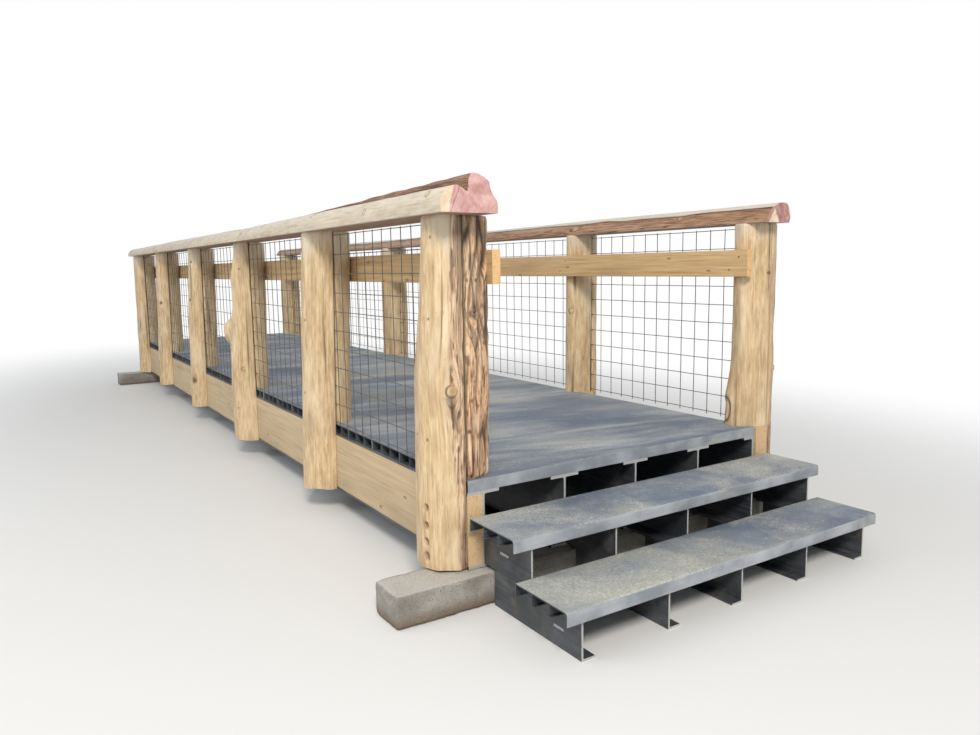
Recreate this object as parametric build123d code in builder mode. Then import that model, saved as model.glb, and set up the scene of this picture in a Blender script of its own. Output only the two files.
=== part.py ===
from build123d import *
from collections import namedtuple
from math import cos, pi, sin
import os

os.makedirs("parts", exist_ok=True)

# Timber and fiberglass footbridge with two steps.
# X runs along the bridge, +X towards the steps, with X 0 at the front edge of the deck.
# Y runs across it, with -Y the left side when looking from the steps' right-hand corner.
# Z 0 is the lowest ground that the steps stand on. All sizes are in millimetres.

# Deck and beams
deck_top = 514.0
deck_width = 1760.0
plank_width = 305.0
plank_depth = 51.0
plank_gap = 6.0
plank_count = 25
plank_skin = 5.0
rib_thickness = 4.0
rib_flange = 26.0
rib_count = 2
beam_depth = 323.0
beam_flange = 152.0
flange_thickness = 13.0
web_thickness = 10.0
beam_count = 4

# Footings
footing_thickness = 200.0
footing_chamfer = 6.0
footing_overhang = 360.0
front_footing_inset = 135.0
back_footing_inset = 65.0

# Steps
tread_going = 305.0
tread_length = 1829.0
upper_rise = 142.0
lower_rise = 169.0
upper_tread_back = 40.0
tread_overlap = 11.0
upper_tread_shift = 20.0
lower_tread_shift = 34.0
nosing_radius = 14.0
stringer_thickness = 8.0
stringer_flange = 62.0
lower_stringer_back = 76.0
nosing_setback = 16.0

# Posts, sawn lengthways into an outer and an inner half. Half widths are at the foot, at
# the waist and under the cap rail; a post's front edge is set by its shift and its lean.
log_waver = 0.02
log_flats = 12
crown_wander = 0.04
post_count = 6
post_height = 1052.0
waist_height = 430.0
wire = 4.4
seat_gap = 0.3
block_thickness = 86.0
left_front = 0.0
left_shift = (0.0, 102.0, 58.0, -5.0, -69.0, 0.0)
left_lean = (0.0, 60.0, -6.0, 64.0, 80.0, 0.0)
left_foot = (143.0, 141.0, 133.0, 114.0, 123.0, 112.0)
left_waist = (136.0, 131.0, 120.0, 107.0, 108.0, 107.0)
left_head = (108.0, 121.0, 80.0, 88.0, 99.0, 101.0)
left_inner_depth = (142.0, 127.0, 124.0, 126.0, 124.0, 126.0)
left_lift = (0.3, -4.0, -11.0, 3.0, 14.0, 0.3)
right_front = 17.0
right_shift = (0.0, 90.0, 108.0, 201.0, 203.0, 0.0)
right_lean = (0.0, 10.0, 0.0, 24.0, 0.0, 0.0)
right_foot = (104.0, 92.0, 108.0, 117.0, 112.0, 112.0)
right_waist = (98.0, 88.0, 102.0, 113.0, 108.0, 108.0)
right_head = (92.0, 84.0, 94.0, 104.0, 100.0, 100.0)
right_inner_depth = (136.0, 132.0, 134.0, 135.0, 134.0, 134.0)
right_lift = (0.3, 4.0, -6.0, 8.0, -3.0, 0.3)

# Stub of a branch on the outer half of the third left post
stub_post = 2
stub_height = 455.0
stub_length = 130.0
stub_direction = (-0.52, -0.80, 0.28)
stub_root = 40.0
stub_tip = 27.0

# Mid rails: how far the inner halves hold them from the slot, and where they end
mid_rail_height = 136.0
mid_rail_thickness = 38.0
mid_rail_chamfer = 4.0
mid_rail_above_deck = 783.0
left_rail_reach = 121.0
right_rail_reach = 128.6
left_rail_front = 8.0
right_rail_front = 0.0
mid_rail_back_overhang = 6.0

# Cap rails: half logs, flat side down. Each outline runs over the log from its outer to its inner
# edge by the corners of its hewn flats: distance outwards from the slot, height above the underside.
left_cap_front = 96.0
right_cap_front = 75.0
cap_back_overhang = 131.0
cap_taper = 0.1
ridge_length = 2600.0
left_cap_start = (
    (146, 0), (145, 32), (134, 61), (111, 88), (79, 99), (53, 89), (30, 80), (22, 130), (-2, 148),
    (-32, 136), (-62, 117), (-74, 80), (-99, 44), (-102, 0),
)
left_cap_rest = (
    (132, 0), (130, 30), (118, 58), (102, 76), (82, 88), (56, 94), (34, 96), (14, 96), (-4, 94),
    (-24, 90), (-44, 80), (-68, 60), (-86, 32), (-89, 0),
)
right_cap_start = (
    (42, 0), (49, 28), (43, 62), (25, 89), (0, 100), (-28, 98), (-60, 85), (-90, 68), (-113, 48),
    (-130, 24), (-131, 0),
)
right_cap_rest = (
    (40, 0), (46, 26), (38, 56), (19, 80), (-6, 89), (-32, 87), (-62, 75), (-86, 59), (-106, 40),
    (-120, 20), (-121, 0),
)

# Welded wire mesh between the post halves: every second wire of a 4 inch mesh
mesh_pitch = 203.2
mesh_first_wire = 15.0

# Side boards
right_board_thickness = 38.0
right_board_gap = 4.0

# Levels and lengths that follow
plank_pitch = plank_width + plank_gap
deck_length = plank_count * plank_pitch - plank_gap
deck_end = -deck_length
half_deck = deck_width / 2
deck_underside = deck_top - plank_depth
beam_bottom = deck_underside - beam_depth
mesh_thickness = 2 * wire
slot = mesh_thickness + 2 * seat_gap
left_split = half_deck
right_split = half_deck + block_thickness
post_top = deck_top + post_height
rail_low = deck_top + mid_rail_above_deck
beam_pitch = (deck_width - beam_flange / 2) / beam_count
first_web = -half_deck + beam_flange / 2
beam_y = [first_web + beam_pitch * i for i in range(beam_count)]
upper_tread_top = deck_top - upper_rise
lower_tread_top = upper_tread_top - lower_rise
upper_tread_front = upper_tread_back + tread_going
lower_tread_back = upper_tread_front - tread_overlap
lower_tread_front = lower_tread_back + tread_going


def finish(piece, label):
    """Name a finished piece and write it to its own STEP file."""
    piece.part.label = label
    export_step(piece.part, f"parts/{label}.step")


def rib_profile(width, nose):
    """Section of a pultruded plank: skin, two edge legs and T-shaped ribs, open below.

    The section lies in the XY plane with the walking face at Y 0 and the nose edge at X 0.
    """
    pitch = (width - rib_thickness) / (rib_count + 1)
    with BuildSketch() as section:
        with Locations((-width / 2, -plank_skin / 2)):
            Rectangle(width, plank_skin)
        for number in range(rib_count + 2):
            with Locations((-rib_thickness / 2 - pitch * number, -plank_depth / 2)):
                Rectangle(rib_thickness, plank_depth)
        for number in range(1, rib_count + 1):
            with Locations((-rib_thickness / 2 - pitch * number, -plank_depth + rib_thickness / 2)):
                Rectangle(rib_flange, rib_thickness)
        if nose > 0:
            corner = section.vertices().sort_by(Axis.Y)[-2:].sort_by(Axis.X)[-1]
            fillet(corner, nose)
    return section.sketch


def i_section():
    """Beam section with its web on X 0 and its bottom flange on Y 0."""
    with BuildSketch() as section:
        with Locations((0, flange_thickness / 2), (0, beam_depth - flange_thickness / 2)):
            Rectangle(beam_flange, flange_thickness)
        with Locations((0, beam_depth / 2)):
            Rectangle(web_thickness, beam_depth)
    return section.sketch


def channel_section(depth, flange, thickness):
    """Channel section: back of the web on X 0, flanges towards -X, bottom on Y 0."""
    with BuildSketch() as section:
        with Locations((-thickness / 2, depth / 2)):
            Rectangle(thickness, depth)
        with Locations((-flange / 2, thickness / 2), (-flange / 2, depth - thickness / 2)):
            Rectangle(flange, thickness)
    return section.sketch


def across(x, y, z):
    """Plane that looks across the bridge: X is along it, Y is up."""
    return Plane(origin=(x, y, z), x_dir=(1, 0, 0), z_dir=(0, -1, 0))


def along(x, y, z):
    """Plane that looks along the bridge: X is across it, Y is up, the normal is +X."""
    return Plane(origin=(x, y, z), x_dir=(0, 1, 0), z_dir=(1, 0, 0))


# Footings: rough concrete sills under both ends of the beams
footing_places = {"front_footing": -front_footing_inset, "back_footing": deck_end - back_footing_inset}
for label, back in footing_places.items():
    with BuildPart() as footing:
        with Locations((back + footing_thickness / 2, 0, 0)):
            Box(
                footing_thickness,
                deck_width + 2 * footing_overhang,
                beam_bottom,
                align=(Align.CENTER, Align.CENTER, Align.MIN),
            )
        chamfer(footing.faces().sort_by(Axis.Z)[-1].edges(), footing_chamfer)
    finish(footing, label)

# Beams: four I-beams and, under the right edge, a channel that faces inwards
for number, y in enumerate(beam_y, start=1):
    with BuildPart() as beam:
        with BuildSketch(along(deck_end, y, beam_bottom)):
            add(i_section())
        extrude(amount=deck_length)
    finish(beam, f"beam_{number}")

with BuildPart() as edge_channel:
    with BuildSketch(along(deck_end, half_deck, beam_bottom)):
        add(channel_section(beam_depth, beam_flange / 2, flange_thickness))
    extrude(amount=deck_length)
finish(edge_channel, "edge_channel")

# Deck: ribbed planks laid across the beams
with BuildPart() as deck_planks:
    for number in range(plank_count):
        with BuildSketch(across(-number * plank_pitch, 0, deck_top)):
            add(rib_profile(plank_width, 0))
        extrude(amount=half_deck, both=True)
finish(deck_planks, "deck_planks")

# Left side board: sawn board let in between the flanges of the outer beam
board_depth = beam_flange / 2 - web_thickness / 2
with BuildPart() as left_board:
    with Locations((deck_end / 2, -half_deck + board_depth / 2, beam_bottom + beam_depth / 2)):
        Box(deck_length, board_depth, beam_depth - 2 * flange_thickness)
finish(left_board, "left_side_board")


Row = namedtuple("Row", "side split front shift lean foot waist head inner_depth lift rail_reach rail_front")
rows = {
    "left": Row(-1, left_split, left_front, left_shift, left_lean, left_foot, left_waist, left_head,
                left_inner_depth, left_lift, left_rail_reach, left_rail_front),
    "right": Row(1, right_split, right_front, right_shift, right_lean, right_foot, right_waist, right_head,
                 right_inner_depth, right_lift, right_rail_reach, right_rail_front),
}


def post_front(row, number, level=deck_top):
    """X of a post's front edge: the end posts are flush with the deck, the others spread between."""
    bay = (deck_end + 2 * row.waist[-1] - row.front) / (post_count - 1)
    lean = row.lean[number] * (level - deck_top) / post_height
    return row.front + bay * number + row.shift[number] + lean


def half_width(row, number, level):
    """Half width of a post at a level: straight from foot to waist, and from waist to head."""
    waist = deck_top + waist_height
    if level < waist:
        share = (level - beam_bottom) / (waist - beam_bottom)
        return row.foot[number] + (row.waist[number] - row.foot[number]) * share
    share = (level - waist) / (post_top - waist)
    return row.waist[number] + (row.head[number] - row.waist[number]) * share


def post_middle(row, number):
    """X of the middle of a post where it passes the deck."""
    return post_front(row, number) - half_width(row, number, deck_top)


# Right side: blocks beside the deck carry the posts, with boards on the channel between them
with BuildPart() as right_blocks:
    for number in range(post_count):
        with Locations((post_middle(rows["right"], number), half_deck + block_thickness / 2, beam_bottom)):
            Box(
                2 * rows["right"].waist[number],
                block_thickness,
                deck_top - beam_bottom,
                align=(Align.CENTER, Align.CENTER, Align.MIN),
            )
finish(right_blocks, "right_post_blocks")

with BuildPart() as right_boards:
    for number in range(post_count - 1):
        high = post_middle(rows["right"], number) - rows["right"].waist[number] - right_board_gap
        low = post_middle(rows["right"], number + 1) + rows["right"].waist[number + 1] + right_board_gap
        with Locations(((high + low) / 2, half_deck + right_board_thickness / 2, beam_bottom + beam_depth / 2)):
            Box(high - low, right_board_thickness, beam_depth)
finish(right_boards, "right_side_boards")


def half_log(row, number, face, outwards, levels, depth):
    """Half of a peeled log: sawn face on the plane Y = face, round side towards `outwards`.

    The drawknife leaves the round side as a run of narrow flats, and its crown wanders a
    little up the log, so no two sections are alike.
    """
    with BuildPart() as log:
        for step, level in enumerate(levels):
            half = half_width(row, number, level)
            front = post_front(row, number, level)
            wander = crown_wander * half * sin(2.1 * number + 1.7 * step)
            reach = outwards * depth(half) * (1 + log_waver * sin(1.3 * number + 2.3 * step))
            turns = [pi * flat / log_flats for flat in range(log_flats + 1)]
            edge = [
                (front - half * (1 - cos(turn)) + wander * sin(turn) ** 2, face + reach * sin(turn))
                for turn in turns
            ]
            with BuildSketch(Plane.XY.offset(level)):
                with BuildLine():
                    Polyline(*edge, close=True)
                make_face()
        loft(ruled=True)
    return log.part


def post(row, number):
    """One post: the outer half is bolted to the beam, the inner half stands on the deck."""
    waist = deck_top + waist_height
    chest = (waist + post_top) / 2
    outer_levels = (beam_bottom + row.lift[number], deck_top, waist, chest, post_top)
    inner_levels = (deck_top, waist, chest, post_top)
    outer_face = row.side * row.split
    inner_face = row.side * (row.split - slot)
    outer = half_log(row, number, outer_face, row.side, outer_levels, lambda half: half)
    inner = half_log(row, number, inner_face, -row.side, inner_levels, lambda half: row.inner_depth[number])
    notch_y = inner_face - row.side * row.rail_reach
    with BuildPart() as both_halves:
        add(inner)
        with Locations((post_middle(row, number), notch_y, rail_low)):
            Box(
                4 * row.foot[number],
                row.inner_depth[number],
                mid_rail_height,
                align=(Align.CENTER, Align.MAX if row.side > 0 else Align.MIN, Align.MIN),
                mode=Mode.SUBTRACT,
            )
        add(outer)
        if row.side < 0 and number == stub_post:
            level = deck_top + stub_height
            root = (post_middle(row, number), outer_face + row.side * stub_root, level)
            stub_plane = Plane(origin=root, z_dir=stub_direction)
            with BuildSketch(stub_plane):
                RegularPolygon(stub_root, log_flats)
            with BuildSketch(stub_plane.offset(stub_length)):
                RegularPolygon(stub_tip, log_flats)
            loft()
    return both_halves


# Posts
for name, row in rows.items():
    for number in range(post_count):
        finish(post(row, number), f"{name}_post_{number + 1}")

# Mid rails: sawn planks seated in shallow notches on the inner halves
for name, row in rows.items():
    back = deck_end - mid_rail_back_overhang
    rail_face = row.side * (row.split - slot - row.rail_reach)
    with BuildPart() as mid_rail:
        with Locations((back, rail_face, rail_low)):
            Box(
                row.rail_front - back,
                mid_rail_thickness,
                mid_rail_height,
                align=(Align.MIN, Align.MAX if row.side > 0 else Align.MIN, Align.MIN),
            )
        chamfer(mid_rail.edges().filter_by(Axis.X), mid_rail_chamfer)
    finish(mid_rail, f"{name}_mid_rail")


def cap_rail(row, front, start_outline, rest_outline):
    """Half-log handrail: its front outline settles into a plainer one and tapers towards the back."""
    length = front - deck_end + cap_back_overhang
    with BuildPart() as rail:
        for step, distance in enumerate((0, ridge_length / 2, ridge_length, (ridge_length + length) / 2, length)):
            settled = min(1, distance / ridge_length)
            swell = 1 - cap_taper * distance / length + log_waver * sin(2.4 * step)
            outline = [
                (row.side * row.split + row.side * swell * (a + (c - a) * settled), swell * (b + (d - b) * settled))
                for (a, b), (c, d) in zip(start_outline, rest_outline)
            ]
            with BuildSketch(along(front - distance, 0, post_top)):
                with BuildLine():
                    Polyline(*outline, close=True)
                make_face()
        loft(ruled=True)
    return rail


finish(cap_rail(rows["left"], left_cap_front, left_cap_start, left_cap_rest), "left_cap_rail")
finish(cap_rail(rows["right"], right_cap_front, right_cap_start, right_cap_rest), "right_cap_rail")


def mesh_panel(row, start, end, label):
    """Welded wire panel in the slot: lengthways wires outside, upright wires inside, fused at the welds."""
    outer_y = row.side * (row.split - seat_gap - wire / 2)
    inner_y = row.side * (row.split - seat_gap - wire * 1.5)
    first = deck_top + mesh_first_wire
    mesh_rows = int((post_height - 2 * mesh_first_wire) / mesh_pitch) + 1
    upright_top = post_top - mesh_first_wire
    count = int((start - end) / mesh_pitch)
    with BuildPart() as panel:
        with Locations([((start + end) / 2, outer_y, first + mesh_pitch * i) for i in range(mesh_rows)]):
            Box(start - end, wire, wire)
        upright_middle = (deck_top + upright_top) / 2
        with Locations([(start - mesh_pitch * (i + 0.5), inner_y, upright_middle) for i in range(count)]):
            Box(wire, wire, upright_top - deck_top)
    finish(panel, label)


# Mesh panels: three sheets a side, which meet inside the slots of the third and fifth posts
for name, row in rows.items():
    joints = [post_middle(row, 0), post_middle(row, 2), post_middle(row, 4), post_middle(row, 5)]
    for number, place in enumerate(("front", "middle", "back")):
        mesh_panel(row, joints[number] - seat_gap, joints[number + 1] + seat_gap, f"{name}_mesh_{place}")


def tread(front, top, shift, label):
    """One step: a ribbed plank with a rounded nose."""
    with BuildPart() as step:
        with BuildSketch(across(front, shift, top)):
            add(rib_profile(tread_going, nosing_radius))
        extrude(amount=tread_length / 2, both=True)
    finish(step, label)


def stringers(back, front, low, high, label):
    """Row of short channels on edge that carry one step."""
    depth = high - low
    with BuildPart() as row_of_channels:
        for number, y in enumerate(beam_y + [half_deck]):
            facing = -1 if number >= beam_count / 2 else 1
            with BuildSketch(along(back, y, low)) as end:
                if facing < 0:
                    add(channel_section(depth, stringer_flange, stringer_thickness))
                else:
                    add(mirror(channel_section(depth, stringer_flange, stringer_thickness), about=Plane.YZ))
            extrude(amount=front - back)
    finish(row_of_channels, label)


# Steps: two ribbed treads on two layers of channel stringers that stand on the ground
lower_stringer_top = lower_tread_top - plank_depth
stringers(lower_stringer_back, lower_tread_front - nosing_setback, 0.0, lower_stringer_top, "lower_stringers")
stringers(
    0.0, upper_tread_front - nosing_setback, lower_stringer_top, upper_tread_top - plank_depth, "upper_stringers"
)
tread(upper_tread_front, upper_tread_top, upper_tread_shift, "upper_tread")
tread(lower_tread_front, lower_tread_top, lower_tread_shift, "lower_tread")
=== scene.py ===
import math
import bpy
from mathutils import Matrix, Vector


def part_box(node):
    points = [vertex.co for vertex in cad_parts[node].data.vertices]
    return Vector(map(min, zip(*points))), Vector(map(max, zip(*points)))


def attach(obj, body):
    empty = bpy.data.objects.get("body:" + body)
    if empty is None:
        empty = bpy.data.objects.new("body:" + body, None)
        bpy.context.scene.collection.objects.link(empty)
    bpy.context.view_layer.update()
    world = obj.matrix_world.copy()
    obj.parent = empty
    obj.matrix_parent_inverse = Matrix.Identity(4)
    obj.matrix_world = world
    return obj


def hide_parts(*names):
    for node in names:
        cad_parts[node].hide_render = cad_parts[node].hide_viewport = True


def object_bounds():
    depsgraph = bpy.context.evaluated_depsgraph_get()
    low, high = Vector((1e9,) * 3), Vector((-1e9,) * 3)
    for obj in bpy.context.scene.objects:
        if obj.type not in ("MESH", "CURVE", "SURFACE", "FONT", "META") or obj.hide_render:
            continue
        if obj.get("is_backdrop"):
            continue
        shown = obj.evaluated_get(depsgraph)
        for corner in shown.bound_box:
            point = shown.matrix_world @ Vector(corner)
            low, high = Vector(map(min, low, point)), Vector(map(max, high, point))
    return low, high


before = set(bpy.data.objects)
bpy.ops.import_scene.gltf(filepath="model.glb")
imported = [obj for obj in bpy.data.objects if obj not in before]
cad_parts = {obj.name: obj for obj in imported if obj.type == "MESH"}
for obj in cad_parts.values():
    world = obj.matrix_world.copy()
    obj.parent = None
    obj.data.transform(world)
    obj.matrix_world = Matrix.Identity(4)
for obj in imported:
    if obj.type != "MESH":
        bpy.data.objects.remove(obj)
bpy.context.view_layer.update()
from types import SimpleNamespace

import bpy
import numpy as np
from mathutils import Matrix, Vector

scene = bpy.context.scene

# Ground, light and camera. The footbridge stands on a plain pale floor that turns white away from
# it, under a large soft lamp behind the camera, a weaker one on the left and an even pale sky.
camera_place = Vector((2.5466, -2.3985, 1.3628))
camera_heading = math.radians(147.285)
camera_pitch = math.radians(-7.495)
camera_roll = math.radians(-0.872)
camera_sight = 200
image_width = 980
focal_pixels = 759.88
sensor_width = 36.0
bridge_middle = (-3.2, 0.0, 0.7)
warm_light = (1.0, 0.95, 0.88)
cool_light = (0.90, 0.95, 1.0)
sky_light = (0.93, 0.96, 1.0, 1.0)
sky_strength = 0.5
plain_white = (1.0, 1.0, 1.0, 1.0)
floor_grey = (0.80, 0.80, 0.79, 1.0)
floor_half = 60.0
# Distances from the bridge at which the floor starts to turn white, and is white
plain_floor = 2.0
white_floor = 5.6

ahead = Vector((
    math.cos(camera_pitch) * math.cos(camera_heading),
    math.cos(camera_pitch) * math.sin(camera_heading),
    math.sin(camera_pitch),
))
level_right = ahead.cross(Vector((0, 0, 1))).normalized()
level_up = level_right.cross(ahead)
right = level_right * math.cos(camera_roll) + level_up * math.sin(camera_roll)
up = level_up * math.cos(camera_roll) - level_right * math.sin(camera_roll)
camera_data = bpy.data.cameras.new("camera")
camera_data.sensor_width = sensor_width
camera_data.lens = focal_pixels * sensor_width / image_width
camera_data.clip_end = camera_sight
camera = bpy.data.objects.new("camera", camera_data)
turn = Matrix((right, up, -ahead)).transposed().to_4x4()
camera.matrix_world = Matrix.Translation(camera_place) @ turn
scene.collection.objects.link(camera)
scene.camera = camera
scene.view_settings.view_transform = "Standard"


def lamp(name, place, size, power, colour):
    """A large square soft lamp that points at the middle of the bridge."""
    data = bpy.data.lights.new(name, "AREA")
    data.shape = "SQUARE"
    data.size = size
    data.energy = power
    data.color = colour
    body = bpy.data.objects.new(name, data)
    facing = (Vector(bridge_middle) - Vector(place)).to_track_quat("-Z", "Y")
    body.matrix_world = Matrix.Translation(place) @ facing.to_matrix().to_4x4()
    scene.collection.objects.link(body)


lamp("key_lamp", (7.0, -4.5, 7.5), 2.5, 900, warm_light)
lamp("fill_lamp", (-4.0, -9.0, 5.0), 6.0, 230, cool_light)


def add_node(tree, kind, inputs=None, **settings):
    """A new node; inputs goes from a socket's name or number to its value or another node's output."""
    made = tree.nodes.new(kind)
    for setting, value in settings.items():
        setattr(made, setting, value)
    for socket, value in (inputs or {}).items():
        if isinstance(value, bpy.types.NodeSocket):
            tree.links.new(value, made.inputs[socket])
        else:
            made.inputs[socket].default_value = value
    return made


def maths(tree, operation, first, second=0.0):
    """Output of a Math node."""
    return add_node(tree, "ShaderNodeMath", {0: first, 1: second}, operation=operation).outputs[0]


def times(tree, first, second):
    """Output that is the product of two values."""
    return maths(tree, "MULTIPLY", first, second)


def vectors(tree, operation, first, second):
    """Vector output of a Vector Math node."""
    return add_node(tree, "ShaderNodeVectorMath", {0: first, 1: second}, operation=operation).outputs[0]


def length_of(tree, vector):
    """Output that is the length of a vector."""
    return add_node(tree, "ShaderNodeVectorMath", {0: vector}, operation="LENGTH").outputs["Value"]


def fade(tree, value, low, high, at_low=0.0, at_high=1.0):
    """Output that goes smoothly from at_low to at_high as the value goes from low to high."""
    sockets = {"Value": value, "From Min": low, "From Max": high, "To Min": at_low, "To Max": at_high}
    return add_node(tree, "ShaderNodeMapRange", sockets, interpolation_type="SMOOTHSTEP").outputs["Result"]


sky = bpy.data.worlds.new("sky")
scene.world = sky
sky.use_nodes = True
sky_tree = sky.node_tree
sky_tree.nodes.clear()
lit = add_node(sky_tree, "ShaderNodeBackground", {"Color": sky_light, "Strength": sky_strength})
white = add_node(sky_tree, "ShaderNodeBackground", {"Color": plain_white, "Strength": 1.0})
path = add_node(sky_tree, "ShaderNodeLightPath").outputs
seen = maths(sky_tree, "MAXIMUM", path["Is Camera Ray"], path["Is Glossy Ray"])
seen = maths(sky_tree, "MAXIMUM", seen, path["Is Transmission Ray"])
sky_mix = add_node(sky_tree, "ShaderNodeMixShader", {0: seen, 1: lit.outputs[0], 2: white.outputs[0]})
add_node(sky_tree, "ShaderNodeOutputWorld", {"Surface": sky_mix.outputs[0]})

floor_mesh = bpy.data.meshes.new("floor")
floor_corners = [(x * floor_half, y * floor_half, 0.0) for x, y in ((-1, -1), (1, -1), (1, 1), (-1, 1))]
floor_mesh.from_pydata(floor_corners, [], [(0, 1, 2, 3)])
floor = bpy.data.objects.new("floor", floor_mesh)
scene.collection.objects.link(floor)
floor_paint = bpy.data.materials.new("pale_floor")
floor_paint.use_nodes = True
tree = floor_paint.node_tree
shader = tree.nodes["Principled BSDF"]
shader.inputs["Base Color"].default_value = floor_grey
shader.inputs["Roughness"].default_value = 0.9
place = add_node(tree, "ShaderNodeTexCoord").outputs["Object"]
from_middle = vectors(tree, "SUBTRACT", place, bridge_middle)
from_bridge = length_of(tree, vectors(tree, "MULTIPLY", from_middle, (0.5, 1.0, 0.0)))
far_out = fade(tree, from_bridge, plain_floor, white_floor)
seen = add_node(tree, "ShaderNodeLightPath").outputs["Is Camera Ray"]
white = add_node(tree, "ShaderNodeEmission", {"Color": plain_white, "Strength": 1.0})
sockets = {0: times(tree, far_out, seen), 1: shader.outputs[0], 2: white.outputs[0]}
floor_mix = add_node(tree, "ShaderNodeMixShader", sockets)
tree.links.new(floor_mix.outputs[0], tree.nodes["Material Output"].inputs["Surface"])
floor_mesh.materials.append(floor_paint)
floor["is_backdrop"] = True

# Footings: two concrete sills cast in place under the ends of the beams, with rough worn sides
# and chipped arrises. They show as short blocks at both ends of the bridge.
footing_pitch = 0.017
arris_radius = 0.005
dent_depth = 0.0022
seat_clearance = 0.0002


def srgb(red, green, blue):
    """A colour as a paint chart gives it, 0 to 255, in the shader's own scale."""
    def channel(value):
        share = value / 255
        return share / 12.92 if share <= 0.04045 else ((share + 0.055) / 1.055) ** 2.4
    return (channel(red), channel(green), channel(blue), 1.0)


concrete_greys = (srgb(120, 116, 110), srgb(150, 146, 139), srgb(184, 180, 172))
top_painted_light = srgb(206, 202, 196)
sand_brown = srgb(118, 108, 94)
soil_brown = srgb(112, 88, 66)
pit_brown = srgb(70, 62, 54)


def plus(tree, first, second):
    """Output that is the sum of two values."""
    return maths(tree, "ADD", first, second)


def minus(tree, first, second):
    """Output that is the first value less the second."""
    return maths(tree, "SUBTRACT", first, second)


def parts_of(tree, vector):
    """The outputs X, Y and Z of a vector."""
    return add_node(tree, "ShaderNodeSeparateXYZ", {0: vector}).outputs


def mix_colours(tree, share, first, second):
    """Output of a colour Mix node: first where the share is 0, second where it is 1."""
    made = add_node(tree, "ShaderNodeMix", {0: share, 6: first, 7: second}, data_type="RGBA")
    return made.outputs[2]


def coated(tree, colour, *coats):
    """A colour under coats, each given as its share from 0 to 1 and its own colour."""
    for share, coat in coats:
        colour = mix_colours(tree, share, colour, coat)
    return colour


def ramp(tree, value, places, colours):
    """Colour output of a ramp with its colours at the places from 0 to 1."""
    made = add_node(tree, "ShaderNodeValToRGB", {"Fac": value})
    elements = made.color_ramp.elements
    while len(elements) < len(places):
        elements.new(0.5)
    for element, place, colour in zip(elements, places, colours):
        element.position = place
        element.color = colour
    return made.outputs["Color"]


def noise_at(tree, place, scale, detail=3.0, roughness=0.55, distortion=0.0):
    """Noise from 0 to 1 at a place that is first stretched by a scale for each axis."""
    sockets = {
        "Vector": vectors(tree, "MULTIPLY", place, scale), "Scale": 1.0, "Detail": detail,
        "Roughness": roughness, "Distortion": distortion,
    }
    return add_node(tree, "ShaderNodeTexNoise", sockets).outputs["Fac"]


def new_finish(name):
    """An empty finish: the material, its node tree, its shader and its Object coordinates."""
    material = bpy.data.materials.new(name)
    material.use_nodes = True
    tree = material.node_tree
    place = add_node(tree, "ShaderNodeTexCoord").outputs["Object"]
    return material, tree, tree.nodes["Principled BSDF"], place


def dress(tree, shader, colour, roughness, height, relief):
    """Wire a colour, a roughness and a bump of so many metres to the shader."""
    tree.links.new(colour, shader.inputs["Base Color"])
    if isinstance(roughness, bpy.types.NodeSocket):
        tree.links.new(roughness, shader.inputs["Roughness"])
    else:
        shader.inputs["Roughness"].default_value = roughness
    bump = add_node(tree, "ShaderNodeBump", {"Height": height, "Distance": relief, "Strength": 1.0})
    tree.links.new(bump.outputs[0], shader.inputs["Normal"])


def facing_up(tree):
    """Output that is 1 where the surface faces up, and 0 where it is upright."""
    return parts_of(tree, add_node(tree, "ShaderNodeNewGeometry").outputs["Normal"])["Z"]


def show(name, mesh, slot, replaced, *materials):
    """Put a finished mesh in the scene in place of its CAD nodes."""
    for material in materials:
        mesh.materials.append(material)
    piece = bpy.data.objects.new(name, mesh)
    scene.collection.objects.link(piece)
    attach(piece, "root")
    if replaced:
        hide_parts(*replaced)


def waver(x, y, seed):
    """Smooth noise from -1 to 1 on a unit grid, the same on every run."""
    size = 97
    table = np.random.default_rng(seed).uniform(-1, 1, (size, size))
    x, y = np.broadcast_arrays(np.asarray(x, float), np.asarray(y, float))
    left, low = np.floor(x).astype(int), np.floor(y).astype(int)
    across, upwards = x - left, y - low
    across, upwards = across * across * (3 - 2 * across), upwards * upwards * (3 - 2 * upwards)
    corners = [table[(left + i) % size, (low + j) % size] for i, j in ((0, 0), (1, 0), (0, 1), (1, 1))]
    lower = corners[0] + (corners[1] - corners[0]) * across
    upper = corners[2] + (corners[3] - corners[2]) * across
    return lower + (upper - lower) * upwards


def box_faces(counts):
    """Grid places and square faces of a box with so many faces along each edge, facing outwards."""
    index, faces = {}, []
    for axis in range(3):
        first, second = (axis + 1) % 3, (axis + 2) % 3
        for end in (0, counts[axis]):
            for i in range(counts[first]):
                for j in range(counts[second]):
                    ring = []
                    for p, q in ((0, 0), (1, 0), (1, 1), (0, 1)):
                        key = [0, 0, 0]
                        key[axis], key[first], key[second] = int(end), i + p, j + q
                        ring.append(index.setdefault(tuple(key), len(index)))
                    faces.append(ring if end else ring[::-1])
    return np.array(list(index)), faces


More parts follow.
